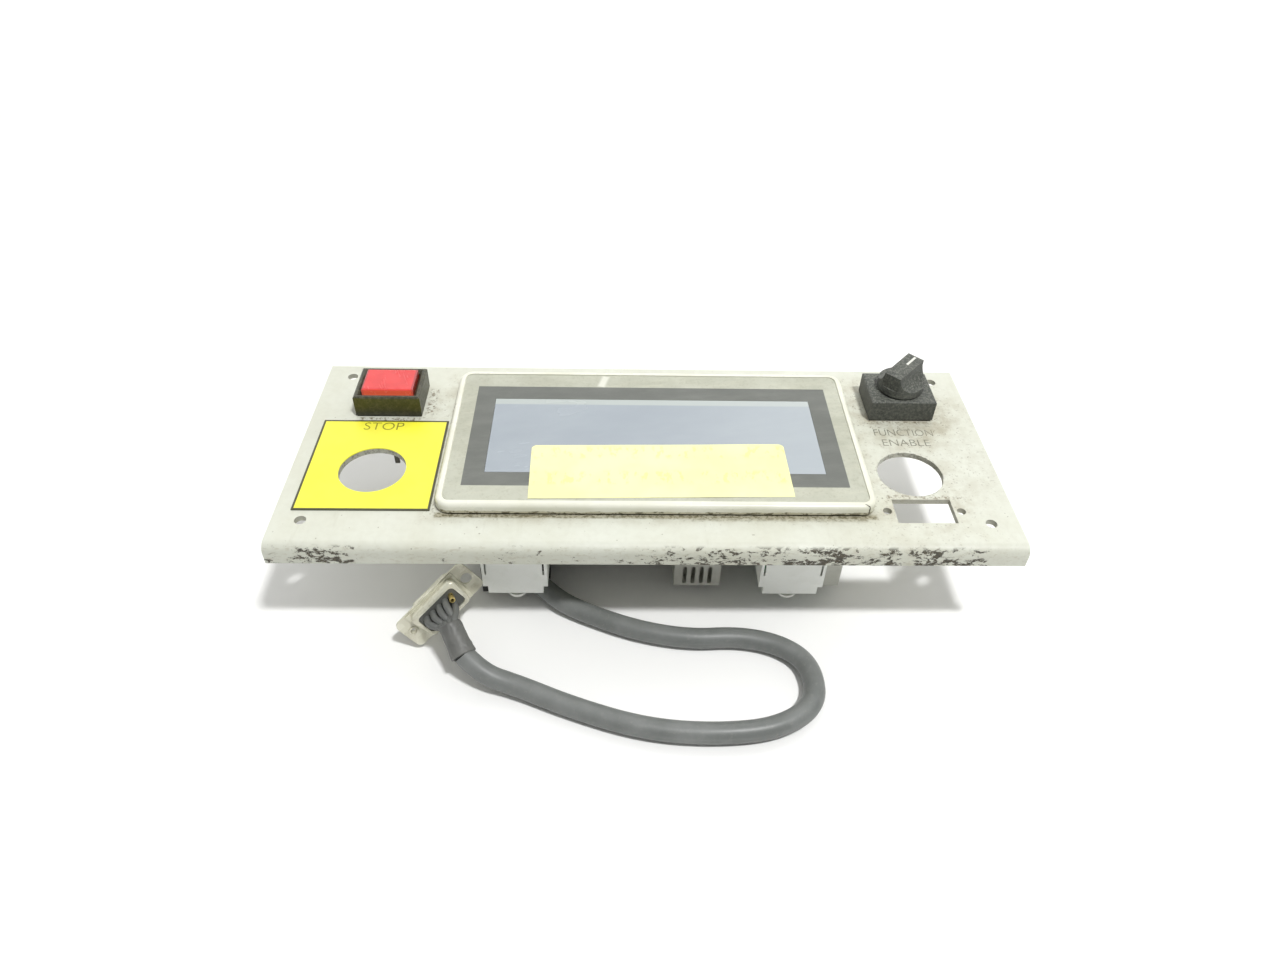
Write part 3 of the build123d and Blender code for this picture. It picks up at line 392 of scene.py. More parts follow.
def legendYellow():
    material, tree, shader = startMaterial("legendYellow")
    here = placed(tree)
    faded = fade(tree, clouds(tree, here, 60, 3), 0.35, 0.7)
    colour = blendColour(tree, faded, (0.90, 0.86, 0.050), (0.84, 0.80, 0.065))
    half, line = legendLook["half"], legendLook["line"]
    inside = inRectangle(tree, legendLook["centre"], (half[0] - line, half[1] - line), 0.00012)
    colour = blendColour(tree, inside, (0.055, 0.055, 0.02), colour)
    scuffs = fade(tree, clouds(tree, here, 1100, 3, 0.7), 0.68, 0.76)
    colour = layOver(tree, scuffs, 0.4, colour, (0.45, 0.40, 0.05))
    tree.links.new(colour, shader.inputs["Base Color"])
    tree.links.new(blendValue(tree, faded, 0.34, 0.46), shader.inputs["Roughness"])
    tree.links.new(relief(tree, clouds(tree, here, 700, 2), 0.00003, 0.4), shader.inputs["Normal"])
    return material


bezelLook = {
    "cream": (0.78, 0.78, 0.68),
    "creamAged": (0.70, 0.70, 0.58),
    "grime": (0.38, 0.34, 0.19),
    "crumb": (0.080, 0.068, 0.030),
    "rubbed": (0.42, 0.40, 0.28),
    "gap": (0.05, 0.045, 0.03),
    "foot": 0.0458,            # height of the gasket's top, where the bezel stands
    "frontEdge": (-0.0325, -0.0338),
    "grimeRise": (0.0002, 0.0007),
    "crackMiddle": (0.0728, -0.0336, 0.0),
    "crackTurn": -21.0,
    "crackHalfLength": 0.0021,
    "crackDownX": 0.0745,
    "crackWander": 0.0011,
}


def bezelPlastic():
    material, tree, shader = startMaterial("creamBezelPlastic")
    here = placed(tree)
    x, y, z = parts(tree, here)
    tone = fade(tree, clouds(tree, here, 45, 3), 0.35, 0.7)
    colour = blendColour(tree, tone, bezelLook["cream"], bezelLook["creamAged"])
    # dirt caught along the foot, and a crack through the front right corner
    caught = clouds(tree, placed(tree, size=(2.0, 2.0, 0.8)), 380, 4, 0.7)
    rise = blendValue(tree, fade(tree, y, *bezelLook["frontEdge"]), *bezelLook["grimeRise"])
    reach = less(tree, less(tree, z, bezelLook["foot"]), rise)
    reach = plus(tree, reach, times(tree, less(tree, caught, 0.5), -0.0022))
    foot = fade(tree, reach, 0.0004, -0.0002)
    colour = layOver(tree, foot, 0.6, colour, bezelLook["grime"])
    crumbs = fade(tree, clouds(tree, placed(tree, size=(1.6, 1.0, 1.0)), 620, 4, 0.7), 0.50, 0.58)
    colour = layOver(tree, times(tree, foot, crumbs), 0.8, colour, bezelLook["crumb"])
    alongX, alongY, _ = parts(tree, placed(tree, bezelLook["crackMiddle"], turn=bezelLook["crackTurn"]))
    wander = times(tree, less(tree, clouds(tree, here, 520, 2), 0.5), bezelLook["crackWander"])
    crack = fade(tree, unsigned(tree, plus(tree, alongY, wander)), 0.00020, 0.00008)
    halfLength = bezelLook["crackHalfLength"]
    crack = times(tree, crack, fade(tree, unsigned(tree, alongX), halfLength, halfLength - 0.0002))
    offSide = unsigned(tree, plus(tree, less(tree, x, bezelLook["crackDownX"]), wander))
    split = times(tree, fade(tree, offSide, 0.00022, 0.00010), fade(tree, y, -0.0330, -0.0334))
    crack = larger(tree, crack, times(tree, split, fade(tree, z, 0.0495, 0.0492)))
    colour = blendColour(tree, crack, colour, bezelLook["gap"])
    rubbed = fade(tree, clouds(tree, here, 900, 3, 0.7), 0.64, 0.76)
    colour = layOver(tree, rubbed, 0.3, colour, bezelLook["rubbed"])
    tree.links.new(colour, shader.inputs["Base Color"])
    tree.links.new(blendValue(tree, tone, 0.26, 0.38), shader.inputs["Roughness"])
    height = less(tree, times(tree, clouds(tree, here, 1600, 2), 0.15), crack)
    tree.links.new(relief(tree, height, 0.00015, 0.6), shader.inputs["Normal"])
    return material


filmLook = {
    "borderCentre": (0.00245, 0.00315),
    "borderHalf": (0.06515, 0.02765),
    "plain": ((0.485, 0.495, 0.41), (0.405, 0.41, 0.33)),
    "smear": (0.58, 0.58, 0.47),
    "dirt": (0.22, 0.21, 0.13),
    "wiped": (0.78, 0.78, 0.70),
    "wipedCentre": (-0.0159, 0.0345),
    "wipedHalf": (0.0013, 0.0034),
    "wipedTurn": -16.0,
    "dark": ((0.128, 0.135, 0.122), (0.162, 0.170, 0.153)),
}


def printedFilm():
    material, tree, shader = startMaterial("soiledPrintedFilm")
    here = placed(tree)
    tone = fade(tree, clouds(tree, here, 55, 5, 0.65), 0.32, 0.70)
    plain = blendColour(tree, tone, *filmLook["plain"])
    smears = fade(tree, clouds(tree, placed(tree, size=(5.0, 1.0, 1.0), turn=8.0), 300, 4, 0.7), 0.42, 0.75)
    plain = layOver(tree, smears, 0.35, plain, filmLook["smear"])
    dirt = fade(tree, clouds(tree, here, 900, 4, 0.7), 0.50, 0.72)
    plain = layOver(tree, dirt, 0.28, plain, filmLook["dirt"])
    wiped = inRectangle(tree, filmLook["wipedCentre"], filmLook["wipedHalf"], 0.0014, filmLook["wipedTurn"])
    plain = layOver(tree, wiped, 0.7, plain, filmLook["wiped"])
    border = inRectangle(tree, filmLook["borderCentre"], filmLook["borderHalf"], 0.0002)
    dust = fade(tree, clouds(tree, placed(tree, size=(3.0, 1.0, 1.0), turn=4.0), 160, 5, 0.7), 0.35, 0.75)
    dark = blendColour(tree, dust, *filmLook["dark"])
    colour = blendColour(tree, border, plain, dark)
    tree.links.new(colour, shader.inputs["Base Color"])
    tree.links.new(blendValue(tree, tone, 0.44, 0.62), shader.inputs["Roughness"])
    tree.links.new(relief(tree, clouds(tree, here, 1800, 2), 0.00004, 0.5), shader.inputs["Normal"])
    return material


windowLook = {
    "glass": ((0.300, 0.338, 0.378), (0.335, 0.375, 0.413)),
    "rowsPerMetre": 9000.0,
    "row": (0.22, 0.26, 0.30),
    "topStrip": (0.0196, 0.0204),
    "strip": (0.45, 0.49, 0.46),
    "paler": (0.52, 0.56, 0.57),
    "wipe": (0.52, 0.54, 0.54),
}


def windowFilm():
    material, tree, shader = startMaterial("greyBlueWindow")
    here = placed(tree)
    x, y, _ = parts(tree, here)
    haze = fade(tree, clouds(tree, placed(tree, size=(2.5, 1.0, 1.0), turn=10.0), 40, 4, 0.6), 0.32, 0.72)
    colour = blendColour(tree, haze, *windowLook["glass"])
    rows = fade(tree, calc(tree, "SINE", times(tree, y, windowLook["rowsPerMetre"])), -1.0, 1.0)
    colour = layOver(tree, rows, 0.06, colour, windowLook["row"])
    strip = fade(tree, y, *windowLook["topStrip"])
    colour = layOver(tree, strip, 0.75, colour, windowLook["strip"])
    toRight = fade(tree, x, -0.02, 0.07)
    colour = layOver(tree, toRight, 0.3, colour, windowLook["paler"])
    wipes = fade(tree, clouds(tree, placed(tree, size=(4.0, 1.0, 1.0), turn=35.0), 220, 4, 0.7), 0.58, 0.75)
    colour = layOver(tree, wipes, 0.04, colour, windowLook["wipe"])
    tree.links.new(colour, shader.inputs["Base Color"])
    tree.links.new(blendValue(tree, haze, 0.16, 0.30), shader.inputs["Roughness"])
    shader.inputs["Coat Weight"].default_value = 0.3
    return material


def blackMoulding(name, colour, dustColour, dustAmount, rough, grainScale, dustScale=480):
    material, tree, shader = startMaterial(name)
    here = placed(tree)
    _, _, faceZ = facing(tree)
    tone = fade(tree, clouds(tree, here, 90, 4), 0.3, 0.75)
    base = blendColour(tree, tone, colour, tuple(c * 1.5 for c in colour))
    settled = fade(tree, clouds(tree, here, dustScale, 5, 0.75), 0.40, 0.72)
    upward = plus(tree, times(tree, fade(tree, faceZ, 0.1, 0.9), 0.4), 0.6)
    dust = times(tree, times(tree, settled, upward), dustAmount)
    base = blendColour(tree, dust, base, dustColour)
    specks = fade(tree, clouds(tree, here, 2100, 2), 0.68, 0.76)
    base = layOver(tree, specks, 0.5, base, dustColour)
    tree.links.new(base, shader.inputs["Base Color"])
    tree.links.new(blendValue(tree, settled, rough, rough + 0.25), shader.inputs["Roughness"])
    tree.links.new(relief(tree, clouds(tree, here, grainScale, 2), 0.00004, 0.6), shader.inputs["Normal"])
    return material


redLensLook = {
    "middle": -0.0944,
    "halfWidth": (0.0084, 0.0089),
    "lowEdge": (0.0549, 0.0542),
    "red": ((0.76, 0.040, 0.042), (0.66, 0.030, 0.032)),
    "amber": (0.74, 0.085, 0.018),
    "side": (0.20, 0.035, 0.045),
    "through": (0.30, 0.055, 0.035),
}


def redLens():
    material, tree, shader = startMaterial("redLensPlastic")
    here = placed(tree)
    x, _, z = parts(tree, here)
    tone = fade(tree, clouds(tree, here, 160, 3), 0.3, 0.7)
    colour = blendColour(tree, tone, *redLensLook["red"])
    low = fade(tree, z, *redLensLook["lowEdge"])
    colour = blendColour(tree, low, colour, redLensLook["amber"])
    sides = fade(tree, unsigned(tree, less(tree, x, redLensLook["middle"])), *redLensLook["halfWidth"])
    colour = layOver(tree, sides, 0.6, colour, redLensLook["side"])
    ribs = cells(tree, here, 900).outputs["Distance"]
    tree.links.new(colour, shader.inputs["Base Color"])
    # light passed through the clear plastic comes out of its front face
    _, faceY, _ = facing(tree)
    through = blendColour(tree, fade(tree, faceY, -0.3, -0.9), (0.0, 0.0, 0.0), redLensLook["through"])
    tree.links.new(through, shader.inputs["Emission Color"])
    shader.inputs["Emission Strength"].default_value = 1.0
    scratch = fade(tree, clouds(tree, placed(tree, size=(1.0, 7.0, 1.0), turn=20.0), 420, 4, 0.7), 0.5, 0.75)
    tree.links.new(blendValue(tree, scratch, 0.22, 0.42), shader.inputs["Roughness"])
    shader.inputs["Subsurface Weight"].default_value = 0.15
    shader.inputs["Subsurface Radius"].default_value = (0.004, 0.0006, 0.0006)
    shader.inputs["Coat Weight"].default_value = 0.4
    tree.links.new(relief(tree, ribs, 0.00003, 0.35), shader.inputs["Normal"])
    return material


def platedMetal(name, colour, dull, metallic, rough, spangle):
    material, tree, shader = startMaterial(name)
    here = placed(tree)
    flakes = cells(tree, here, spangle).outputs["Color"]
    value = tree.nodes.new("ShaderNodeSeparateColor")
    tree.links.new(flakes, value.inputs["Color"])
    shine = value.outputs["Red"]
    base = layOver(tree, shine, 0.3, colour, dull)
    stain = fade(tree, clouds(tree, here, 240, 5, 0.7), 0.50, 0.76)
    base = layOver(tree, stain, 0.6, base, dull)
    tree.links.new(base, shader.inputs["Base Color"])
    shader.inputs["Metallic"].default_value = metallic
    dulled = blendValue(tree, larger(tree, stain, shine), rough, rough + 0.25)
    tree.links.new(dulled, shader.inputs["Roughness"])
    brushed = clouds(tree, placed(tree, size=(9.0, 1.0, 1.0)), 1500, 2)
    tree.links.new(relief(tree, brushed, 0.00002, 0.5), shader.inputs["Normal"])
    return material


def plainMoulding(name, colour, soil, rough, grain=1300, soilAmount=0.5):
    material, tree, shader = startMaterial(name)
    here = placed(tree)
    tone = fade(tree, clouds(tree, here, 60, 4, 0.6), 0.32, 0.72)
    base = blendColour(tree, times(tree, tone, soilAmount), colour, soil)
    specks = fade(tree, clouds(tree, here, 1000, 3, 0.7), 0.62, 0.74)
    base = blendColour(tree, times(tree, specks, soilAmount), base, soil)
    tree.links.new(base, shader.inputs["Base Color"])
    tree.links.new(blendValue(tree, tone, rough, rough + 0.14), shader.inputs["Roughness"])
    tree.links.new(relief(tree, clouds(tree, here, grain, 2), 0.00004, 0.5), shader.inputs["Normal"])
    return material


paperLook = {"centre": (0.0039, -0.0165), "size": (0.0883, 0.0270), "turn": 1.0}


def yellowedPaper():
    material, tree, shader = startMaterial("yellowedLabelPaper")
    here = placed(tree, (*paperLook["centre"], 0.0), turn=paperLook["turn"])
    _, y, _ = parts(tree, here)
    tone = fade(tree, clouds(tree, here, 50, 3), 0.35, 0.7)
    colour = blendColour(tree, tone, (0.90, 0.88, 0.47), (0.86, 0.83, 0.40))
    # faint tan blotches where the print has worn away, in two soft rows
    rows = calc(tree, "MAXIMUM",
                fade(tree, unsigned(tree, less(tree, y, 0.0095)), 0.0042, 0.0020),
                fade(tree, unsigned(tree, plus(tree, y, 0.0035)), 0.0042, 0.0020))
    worn = fade(tree, clouds(tree, placed(tree, size=(0.8, 1.6, 1.0)), 330, 3, 0.6), 0.52, 0.62)
    colour = layOver(tree, times(tree, rows, worn), 0.5, colour, (0.80, 0.62, 0.20))
    smudge = fade(tree, clouds(tree, here, 700, 4, 0.7), 0.56, 0.74)
    colour = layOver(tree, smudge, 0.16, colour, (0.60, 0.56, 0.33))
    tree.links.new(colour, shader.inputs["Base Color"])
    tree.links.new(blendValue(tree, tone, 0.42, 0.55), shader.inputs["Roughness"])
    tree.links.new(relief(tree, clouds(tree, here, 260, 3), 0.00012, 0.5), shader.inputs["Normal"])
    return material


def cableSheath():
    material, tree, shader = startMaterial("greyCableSheath")
    here = placed(tree)
    tone = fade(tree, clouds(tree, here, 80, 4, 0.6), 0.3, 0.75)
    base = blendColour(tree, tone, (0.150, 0.160, 0.153), (0.205, 0.215, 0.208))
    dust = fade(tree, clouds(tree, here, 700, 4, 0.7), 0.52, 0.75)
    base = layOver(tree, dust, 0.35, base, (0.28, 0.28, 0.25))
    tree.links.new(base, shader.inputs["Base Color"])
    tree.links.new(blendValue(tree, tone, 0.40, 0.52), shader.inputs["Roughness"])
    tree.links.new(relief(tree, clouds(tree, here, 900, 3), 0.00006, 0.5), shader.inputs["Normal"])
    return material


finishes = {
    "panelPaint": panelPaint(),
    "legendYellow": legendYellow(),
    "bezelPlastic": bezelPlastic(),
    "printedFilm": printedFilm(),
    "windowFilm": windowFilm(),
    "buttonBlack": blackMoulding("dustyButtonBlack", (0.026, 0.027, 0.016), (0.20, 0.19, 0.115),
                                 0.55, 0.34, 1500, 900),
    "selectorBlack": blackMoulding("speckledSelectorBlack", (0.040, 0.043, 0.038), (0.27, 0.28, 0.235),
                                   0.75, 0.55, 1900, 1250),
    "innerBlack": blackMoulding("innerBlack", (0.02, 0.02, 0.02), (0.10, 0.10, 0.09), 0.3, 0.5, 1500),
    "redLens": redLens(),
    "zincSheet": platedMetal("paleZincSheet", (0.96, 0.98, 0.93), (0.86, 0.88, 0.82), 0.0, 0.42, 260),
    "screwSteel": platedMetal("zincScrewSteel", (0.62, 0.63, 0.60), (0.34, 0.33, 0.28), 0.85, 0.30, 900),
    "springSteel": platedMetal("springSteel", (0.50, 0.50, 0.50), (0.32, 0.32, 0.30), 1.0, 0.25, 1200),
    "contactBrass": platedMetal("contactBrass", (0.78, 0.62, 0.24), (0.48, 0.38, 0.14), 1.0, 0.26, 900),
    "darkTab": platedMetal("tarnishedTab", (0.12, 0.11, 0.09), (0.05, 0.05, 0.04), 0.6, 0.45, 900),
    "wireSheath": plainMoulding("greyWireSheath", (0.125, 0.131, 0.125), (0.20, 0.20, 0.185),
                                0.45, 1500, 0.4),
    "insulatorGrey": plainMoulding("darkInsulator", (0.075, 0.080, 0.072), (0.14, 0.14, 0.12), 0.5),
    "tinPlate": platedMetal("tarnishedTin", (0.74, 0.73, 0.61), (0.42, 0.39, 0.27), 0.42, 0.34, 420),
    "casePlastic": plainMoulding("greyCasePlastic", (0.60, 0.605, 0.55), (0.36, 0.35, 0.28), 0.5),
    "boardGreen": plainMoulding("circuitBoardGreen", (0.02, 0.14, 0.06), (0.01, 0.07, 0.03), 0.35),
    "terminalGreen": plainMoulding("terminalBlockGreen", (0.03, 0.22, 0.09), (0.02, 0.12, 0.05), 0.45),
    "sealRubber": plainMoulding("sealRubber", (0.035, 0.034, 0.030), (0.10, 0.09, 0.06), 0.7),
    "lampWhite": plainMoulding("lampWhite", (0.80, 0.78, 0.68), (0.6, 0.56, 0.44), 0.25),
    "whitePaint": plainMoulding("pointerWhite", (0.80, 0.80, 0.76), (0.45, 0.44, 0.36), 0.5),
    "labelPaper": yellowedPaper(),
    "letterInk": plainMoulding("greyLetterInk", (0.19, 0.19, 0.15), (0.34, 0.33, 0.26), 0.6, 1700, 0.6),
    "legendInk": plainMoulding("oliveLetterInk", (0.20, 0.19, 0.02), (0.42, 0.39, 0.03), 0.5, 1700, 0.5),
    "cableSheath": cableSheath(),
    "sleeveBlack": plainMoulding("shrunkSleeveBlack", (0.105, 0.108, 0.102), (0.20, 0.20, 0.185), 0.42),
}

nodeFinishes = {
    "panelPaint": ["front_panel"],
    "legendYellow": ["estop_legend_plate"],
    "bezelPlastic": ["terminal_bezel"],
    "printedFilm": ["overlay_film"],
    "windowFilm": ["display_window", "touch_panel", "lcd_module"],
    "labelPaper": ["stock_label"],
    "casePlastic": ["terminal_rear_case"],
    "boardGreen": ["terminal_circuit_board"],
    "terminalGreen": ["supply_terminal_block"],
    "screwSteel": ["case_screws", "supply_terminal_screws", "clamp_screws",
                   "selector_retaining_clip", "selector_detent_ball"],
    "zincSheet": ["clamp_bracket_front_left", "clamp_bracket_front_right",
                  "clamp_bracket_rear_left", "clamp_bracket_rear_right"],
    "innerBlack": ["port_connector", "port_plug_hood", "button_mounting_nut", "button_contact_block",
                   "selector_mounting_nut", "selector_contact_block", "button_plunger",
                   "selector_shaft"],
    "sealRubber": ["terminal_gasket", "button_seal", "selector_seal"],
    "buttonBlack": ["button_housing"],
    "selectorBlack": ["selector_housing", "selector_knob"],
    "whitePaint": ["selector_pointer_line"],
    "redLens": ["button_lens"],
    "lampWhite": ["button_lamp", "button_lamp_socket"],
    "springSteel": ["button_return_spring", "selector_detent_spring"],
    "contactBrass": ["button_contact_bridges", "button_fixed_contacts", "selector_contact_bridge",
                     "selector_fixed_contacts", "connector_contacts"],
    "darkTab": ["button_solder_tabs", "selector_solder_tabs"],
    "wireSheath": ["connector_wires"],
    "insulatorGrey": ["connector_insulator"],
    "tinPlate": ["connector_shell", "connector_insert"],
    "cableSheath": ["cable"],
    "sleeveBlack": ["cable_sleeve"],
}


def finishWith(piece, material):
    piece.data.materials.clear()
    piece.data.materials.append(material)


for finish, names in nodeFinishes.items():
    for name in names:
        finishWith(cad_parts[name], finishes[finish])
left = sorted(set(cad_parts) - {n for names in nodeFinishes.values() for n in names})
print("finishes given; nodes left over:", left)
finishWith(dataCable, finishes["cableSheath"])

letteringLook = {
    "stopLettering": {"text": "STOP", "centre": (-0.0952, 0.0109, 0.0454), "height": 0.0042, "spread": 1.0,
                      "finish": "legendInk", "slot": "legend_yellow"},
    "functionLettering": {"text": "FUNCTION", "centre": (0.0946, 0.0102, 0.0450), "height": 0.0037,
                          "spread": 0.82,
                          "finish": "letterInk", "slot": "panel_paint"},
    "enableLettering": {"text": "ENABLE", "centre": (0.0943, 0.0044, 0.0450), "height": 0.0037,
                        "spread": 0.96,
                        "finish": "letterInk", "slot": "panel_paint"},
}
capShare = 0.69            # capital height over letter size in the built-in face
inkThickness = 0.00003


def placeLettering(name, look):
    bpy.ops.object.text_add()
    piece = bpy.context.object
    piece.name = name
    piece.data.body = look["text"]
    piece.data.size = look["height"] / capShare
    piece.data.align_x = "CENTER"
    piece.data.align_y = "CENTER"
    piece.data.offset = -0.00006
    piece.data.extrude = inkThickness / 2
    bpy.ops.object.convert(target="MESH")
    piece = bpy.context.object
    piece.location = Vector(look["centre"]) + Vector((0, 0, inkThickness / 2))
    piece.scale.x = look["spread"]
    bpy.ops.object.transform_apply(location=True, rotation=True, scale=True)
    finishWith(piece, finishes[look["finish"]])
    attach(piece, "panel")
    piece.select_set(False)


for name, look in letteringLook.items():
    placeLettering(name, look)
print("lettering set")


def startPiece(name):
    piece = bpy.context.object
    piece.name = name
    piece.data.name = name
    return piece


def applyModifier(piece, kind, **settings):
    modifier = piece.modifiers.new(kind.title(), kind)
    for key, value in settings.items():
        setattr(modifier, key, value)
    bpy.ops.object.modifier_apply(modifier=modifier.name)


def restOn(piece, finish, node):
    finishWith(piece, finishes[finish])
    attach(piece, "panel")
    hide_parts(node)
    piece.select_set(False)


def softTexture(name, size, depth):
    texture = bpy.data.textures.new(name, "CLOUDS")
    texture.noise_scale = size
    texture.noise_depth = depth
    return texture


stickerLook = {
    "corner": 0.0018,
    "cornerCuts": 3,
    "cutShare": 0.985,         # each cut passes a little inside the round corner
    "wave": 0.00030,
    "waveSize": 0.020,
    "sheet": 0.00009,
    "clearance": 0.00001,      # the paper never dips into the display
}


def yellowSticker():
    # a paper label with its two far corners rounded, lying a little wavy on the display
    low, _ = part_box("stock_label")
    width, depth = paperLook["size"]
    bpy.ops.mesh.primitive_grid_add(x_subdivisions=72, y_subdivisions=24, size=1.0)
    piece = startPiece("yellowSticker")
    piece.scale = (width, depth, 1.0)
    bpy.ops.object.transform_apply(location=False, rotation=False, scale=True)
    bpy.ops.object.mode_set(mode="EDIT")
    corner = stickerLook["corner"]
    for side in (-1, 1):
        for step in range(1, stickerLook["cornerCuts"] + 1):
            angle = math.radians(90.0 * step / (stickerLook["cornerCuts"] + 1))
            outward = Vector((side * math.cos(angle), math.sin(angle), 0.0))
            centre = Vector((side * (width / 2 - corner), depth / 2 - corner, 0.0))
            bpy.ops.mesh.select_all(action="SELECT")
            cut = centre + outward * corner * stickerLook["cutShare"]
            bpy.ops.mesh.bisect(plane_co=cut, plane_no=outward, clear_outer=True)
    bpy.ops.object.mode_set(mode="OBJECT")
    piece.location = (*paperLook["centre"], low[2])
    piece.rotation_euler = (0, 0, math.radians(paperLook["turn"]))
    bpy.ops.object.transform_apply(location=True, rotation=True, scale=True)
    applyModifier(piece, "DISPLACE", texture=softTexture("paperWaves", stickerLook["waveSize"], 1),
                  direction="Z", mid_level=0.35, strength=stickerLook["wave"])
    for vertex in piece.data.vertices:
        vertex.co.z = max(vertex.co.z, low[2] + stickerLook["clearance"])
    applyModifier(piece, "SOLIDIFY", thickness=stickerLook["sheet"], offset=1.0)
    restOn(piece, "labelPaper", "stock_label")


yellowSticker()
print("sticker laid")

plugLook = {
    "centre": (-0.0706, -0.0462, 0.0147),
    "along": (0.70, 0.47, 0.53),
    "facing": (0.34, -0.88, 0.33),
    "mouth": (-0.0655, -0.0572, 0.0174),
    "sleeveEnd": (-0.0605, -0.0654, 0.0122),
    "pitch": 0.00277,
    "rowPitch": 0.00284,
    "wire": 0.00118,
    "cupEnd": 0.0041,          # how far out from the plug's centre the wires start, straighten and bend
    "straight": 0.0062,
    "bendStart": 0.0082,
    "bulge": 0.0010,
    "tuck": 0.0035,
    "mouthPitch": 0.00145,
    "mouthRow": 0.0013,
    "sleeveRings": [       # how far along the sleeve, and its radius there
        (-0.0003, 0.0036), (0.0004, 0.0039), (0.0020, 0.0040), (0.0038, 0.0039), (0.0056, 0.0040),
        (0.0074, 0.0040), (0.0088, 0.0042), (0.0100, 0.0043), (0.0112, 0.0045), (0.0117, 0.0043),
    ],
    "crumple": 0.00045,
}


def plugPlace(across, up, out):
    along = Vector(plugLook["along"]).normalized()
    facingWay = Vector(plugLook["facing"]).normalized()
    upward = facingWay.cross(along)
    return Vector(plugLook["centre"]) + along * across + upward * up + facingWay * out


def wireTails():
    # eight short insulated wires that bend from the solder cups into the sleeve
    mouth, end = Vector(plugLook["mouth"]), Vector(plugLook["sleeveEnd"])
    inward = (end - mouth).normalized()
    along = Vector(plugLook["along"]).normalized()
    sideways = (along - inward * along.dot(inward)).normalized()
    upward = inward.cross(sideways)
    outward = Vector(plugLook["facing"]).normalized()
    spots = [(column - 2, 1) for column in range(4)] + [(column - 1.5, -1) for column in range(4)]
    wires = []
    for number, (column, row) in enumerate(spots):
        across, up = column * plugLook["pitch"], row * plugLook["rowPitch"] / 2
        spread = (column + (0.25 if row > 0 else 0.0)) * plugLook["mouthPitch"]
        target = mouth + sideways * spread - upward * (row * plugLook["mouthRow"])
        leave = plugPlace(across, up, plugLook["bendStart"])
        halfWay = (leave + target) / 2 + outward * plugLook["bulge"]
        start = plugPlace(across, up, plugLook["cupEnd"])
        straight = plugPlace(across, up, plugLook["straight"])
        points = [start, straight, leave, halfWay, target, target + inward * plugLook["tuck"]]
        route = [tuple(point) for point in points]
        wires.append(smoothCurve("wireTail%d" % number, route, plugLook["wire"], 4))
    for wire in wires:
        wire.select_set(True)
    bpy.context.view_layer.objects.active = wires[0]
    bpy.ops.object.convert(target="MESH")
    bpy.ops.object.join()
    piece = startPiece("wireTails")
    bpy.ops.object.shade_smooth()
    restOn(piece, "wireSheath", "connector_wires")
    return piece


def shrunkSleeve():
    # heat-shrink tube, wrinkled and a little flared where it ends on the cable
    mouth, end = Vector(plugLook["mouth"]), Vector(plugLook["sleeveEnd"])
    rings = plugLook["sleeveRings"]
    bpy.ops.mesh.primitive_circle_add(vertices=48, radius=rings[0][1], fill_type="NGON", location=(0, 0, 0))
    piece = startPiece("shrunkSleeve")
    bpy.ops.object.mode_set(mode="EDIT")
    bpy.ops.mesh.select_all(action="SELECT")
    for (place, radius), (nextPlace, nextRadius) in zip(rings, rings[1:]):
        bpy.ops.mesh.extrude_region_move(TRANSFORM_OT_translate={"value": (0, 0, nextPlace - place)})
        share = nextRadius / radius
        bpy.ops.transform.resize(value=(share, share, 1.0))
    bpy.ops.mesh.select_all(action="SELECT")
    bpy.ops.mesh.normals_make_consistent(inside=False)
    bpy.ops.object.mode_set(mode="OBJECT")
    piece.rotation_mode = "QUATERNION"
    piece.rotation_quaternion = (end - mouth).to_track_quat("Z", "Y")
    piece.location = mouth + (end - mouth).normalized() * rings[0][0]
    bpy.ops.object.transform_apply(location=True, rotation=True, scale=True)
    applyModifier(piece, "SUBSURF", levels=2, render_levels=2)
    applyModifier(piece, "DISPLACE", texture=softTexture("sleeveWrinkles", 0.0022, 3),
                  mid_level=0.55, strength=plugLook["crumple"])
    bpy.ops.object.shade_smooth()
    restOn(piece, "sleeveBlack", "cable_sleeve")
    return piece


tails = wireTails()
sleeve = shrunkSleeve()
print("wires and sleeve made")

springLook = {"wire": 0.00035, "turns": 6, "stepsPerTurn": 20, "travel": 0.0025}


def returnSpring():
    # the button's return spring, wound as a helix of wire
    low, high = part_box("button_return_spring")
    middle = [(a + b) / 2 for a, b in zip(low, high)]
    wire = springLook["wire"]
    radius = (high[0] - low[0]) / 2 - wire
    steps = springLook["turns"] * springLook["stepsPerTurn"]
    points = []
    for step in range(steps + 1):
        angle = 2 * math.pi * step / springLook["stepsPerTurn"]
        height = low[2] + wire + (high[2] - low[2] - 2 * wire) * step / steps
        points.append((middle[0] + radius * math.cos(angle), middle[1] + radius * math.sin(angle), height))
    spring = smoothCurve("returnSpring", points, wire, 2)
    spring.select_set(True)
    bpy.context.view_layer.objects.active = spring
    bpy.ops.object.convert(target="MESH")
    piece = startPiece("returnSpring")
    bpy.ops.object.shade_smooth()
    restOn(piece, "springSteel", "button_return_spring")
    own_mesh(piece)


returnSpring()
print("spring wound")

stageLook = {
    "floor": (0.93, 0.93, 0.92),
    "wall": (0.90, 0.90, 0.89),
    "wallGlow": 0.44,
    "wallPlace": (0.0, 0.463, 0.0),
    "wallTurn": 5.1,
    "size": 4.0,
}


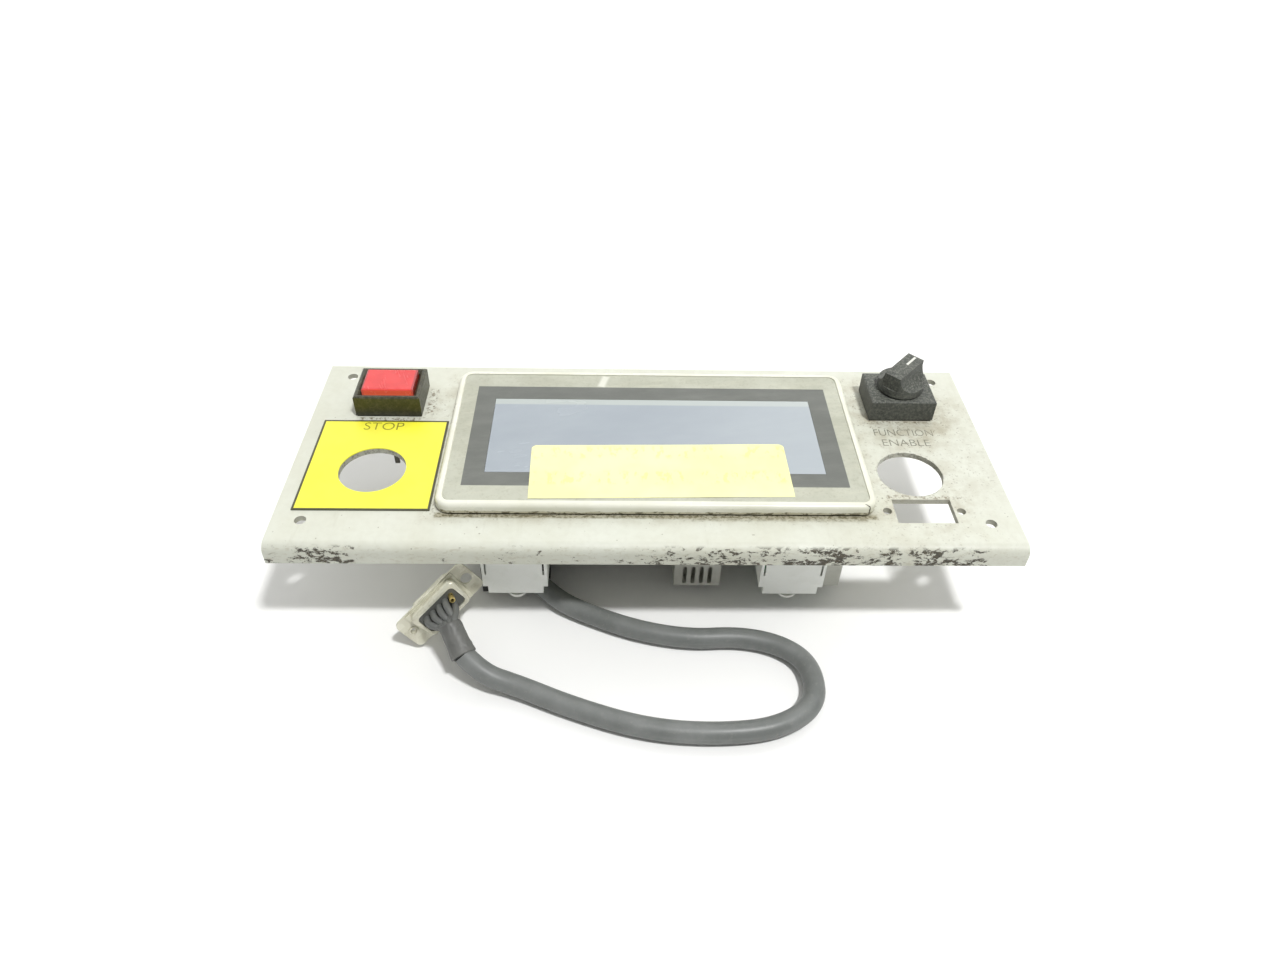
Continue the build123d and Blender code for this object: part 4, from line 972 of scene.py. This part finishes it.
def stagePiece(name, place, turn, colour, glow=0.0):
    bpy.ops.mesh.primitive_plane_add(size=stageLook["size"], location=place, rotation=turn)
    piece = bpy.context.object
    piece.name = name
    material, tree, shader = startMaterial(name)
    here = placed(tree)
    tone = fade(tree, clouds(tree, here, 1.5, 2), 0.3, 0.7)
    paler = tuple(c * 0.985 for c in colour)
    tree.links.new(blendColour(tree, tone, colour, paler), shader.inputs["Base Color"])
    shader.inputs["Roughness"].default_value = 0.9
    shader.inputs["Emission Color"].default_value = (1.0, 1.0, 0.99, 1.0)
    shader.inputs["Emission Strength"].default_value = glow
    finishWith(piece, material)
    piece.select_set(False)


stagePiece("studioFloor", (0, 0, 0), (0, 0, 0), stageLook["floor"])
stagePiece("studioWall", stageLook["wallPlace"], (math.radians(90), 0, math.radians(stageLook["wallTurn"])),
           stageLook["wall"], stageLook["wallGlow"])

lightLook = {
    "aim": (0.0, -0.01, 0.04),
    "toLight": (0.25, -0.33, 0.91),
    "distance": 1.5,
    "power": 17.0,
    "size": (0.16, 0.085),
    "lowSky": 0.02,        # how bright the room is near the horizon
    "highSky": 0.60,       # and what is added towards straight above
    "skyPower": 1.4,
}


def softLight(name, direction, distance, power, size, aim):
    data = bpy.data.lights.new(name, "AREA")
    data.shape = "RECTANGLE"
    data.size, data.size_y = size
    data.energy = power
    light = bpy.data.objects.new(name, data)
    bpy.context.scene.collection.objects.link(light)
    place = Vector(aim) + Vector(direction).normalized() * distance
    light.location = place
    light.rotation_mode = "QUATERNION"
    light.rotation_quaternion = (Vector(aim) - place).to_track_quat("-Z", "Y")
    return light


softLight("keyLight", lightLook["toLight"], lightLook["distance"], lightLook["power"], lightLook["size"],
          lightLook["aim"])


def paleRoom():
    # bright overhead and dim at the sides, so that what hangs under the panel stays in shade
    world = bpy.data.worlds.new("paleStudio")
    world.use_nodes = True
    tree = world.node_tree
    coords = tree.nodes.new("ShaderNodeTexCoord")
    _, _, up = parts(tree, coords.outputs["Generated"])
    height = calc(tree, "POWER", larger(tree, up, 0.0), lightLook["skyPower"])
    strength = plus(tree, times(tree, height, lightLook["highSky"]), lightLook["lowSky"])
    tree.nodes["Background"].inputs["Color"].default_value = (1.0, 1.0, 0.985, 1.0)
    tree.links.new(strength, tree.nodes["Background"].inputs["Strength"])
    return world


bpy.context.scene.world = paleRoom()
print("stage and lights set")
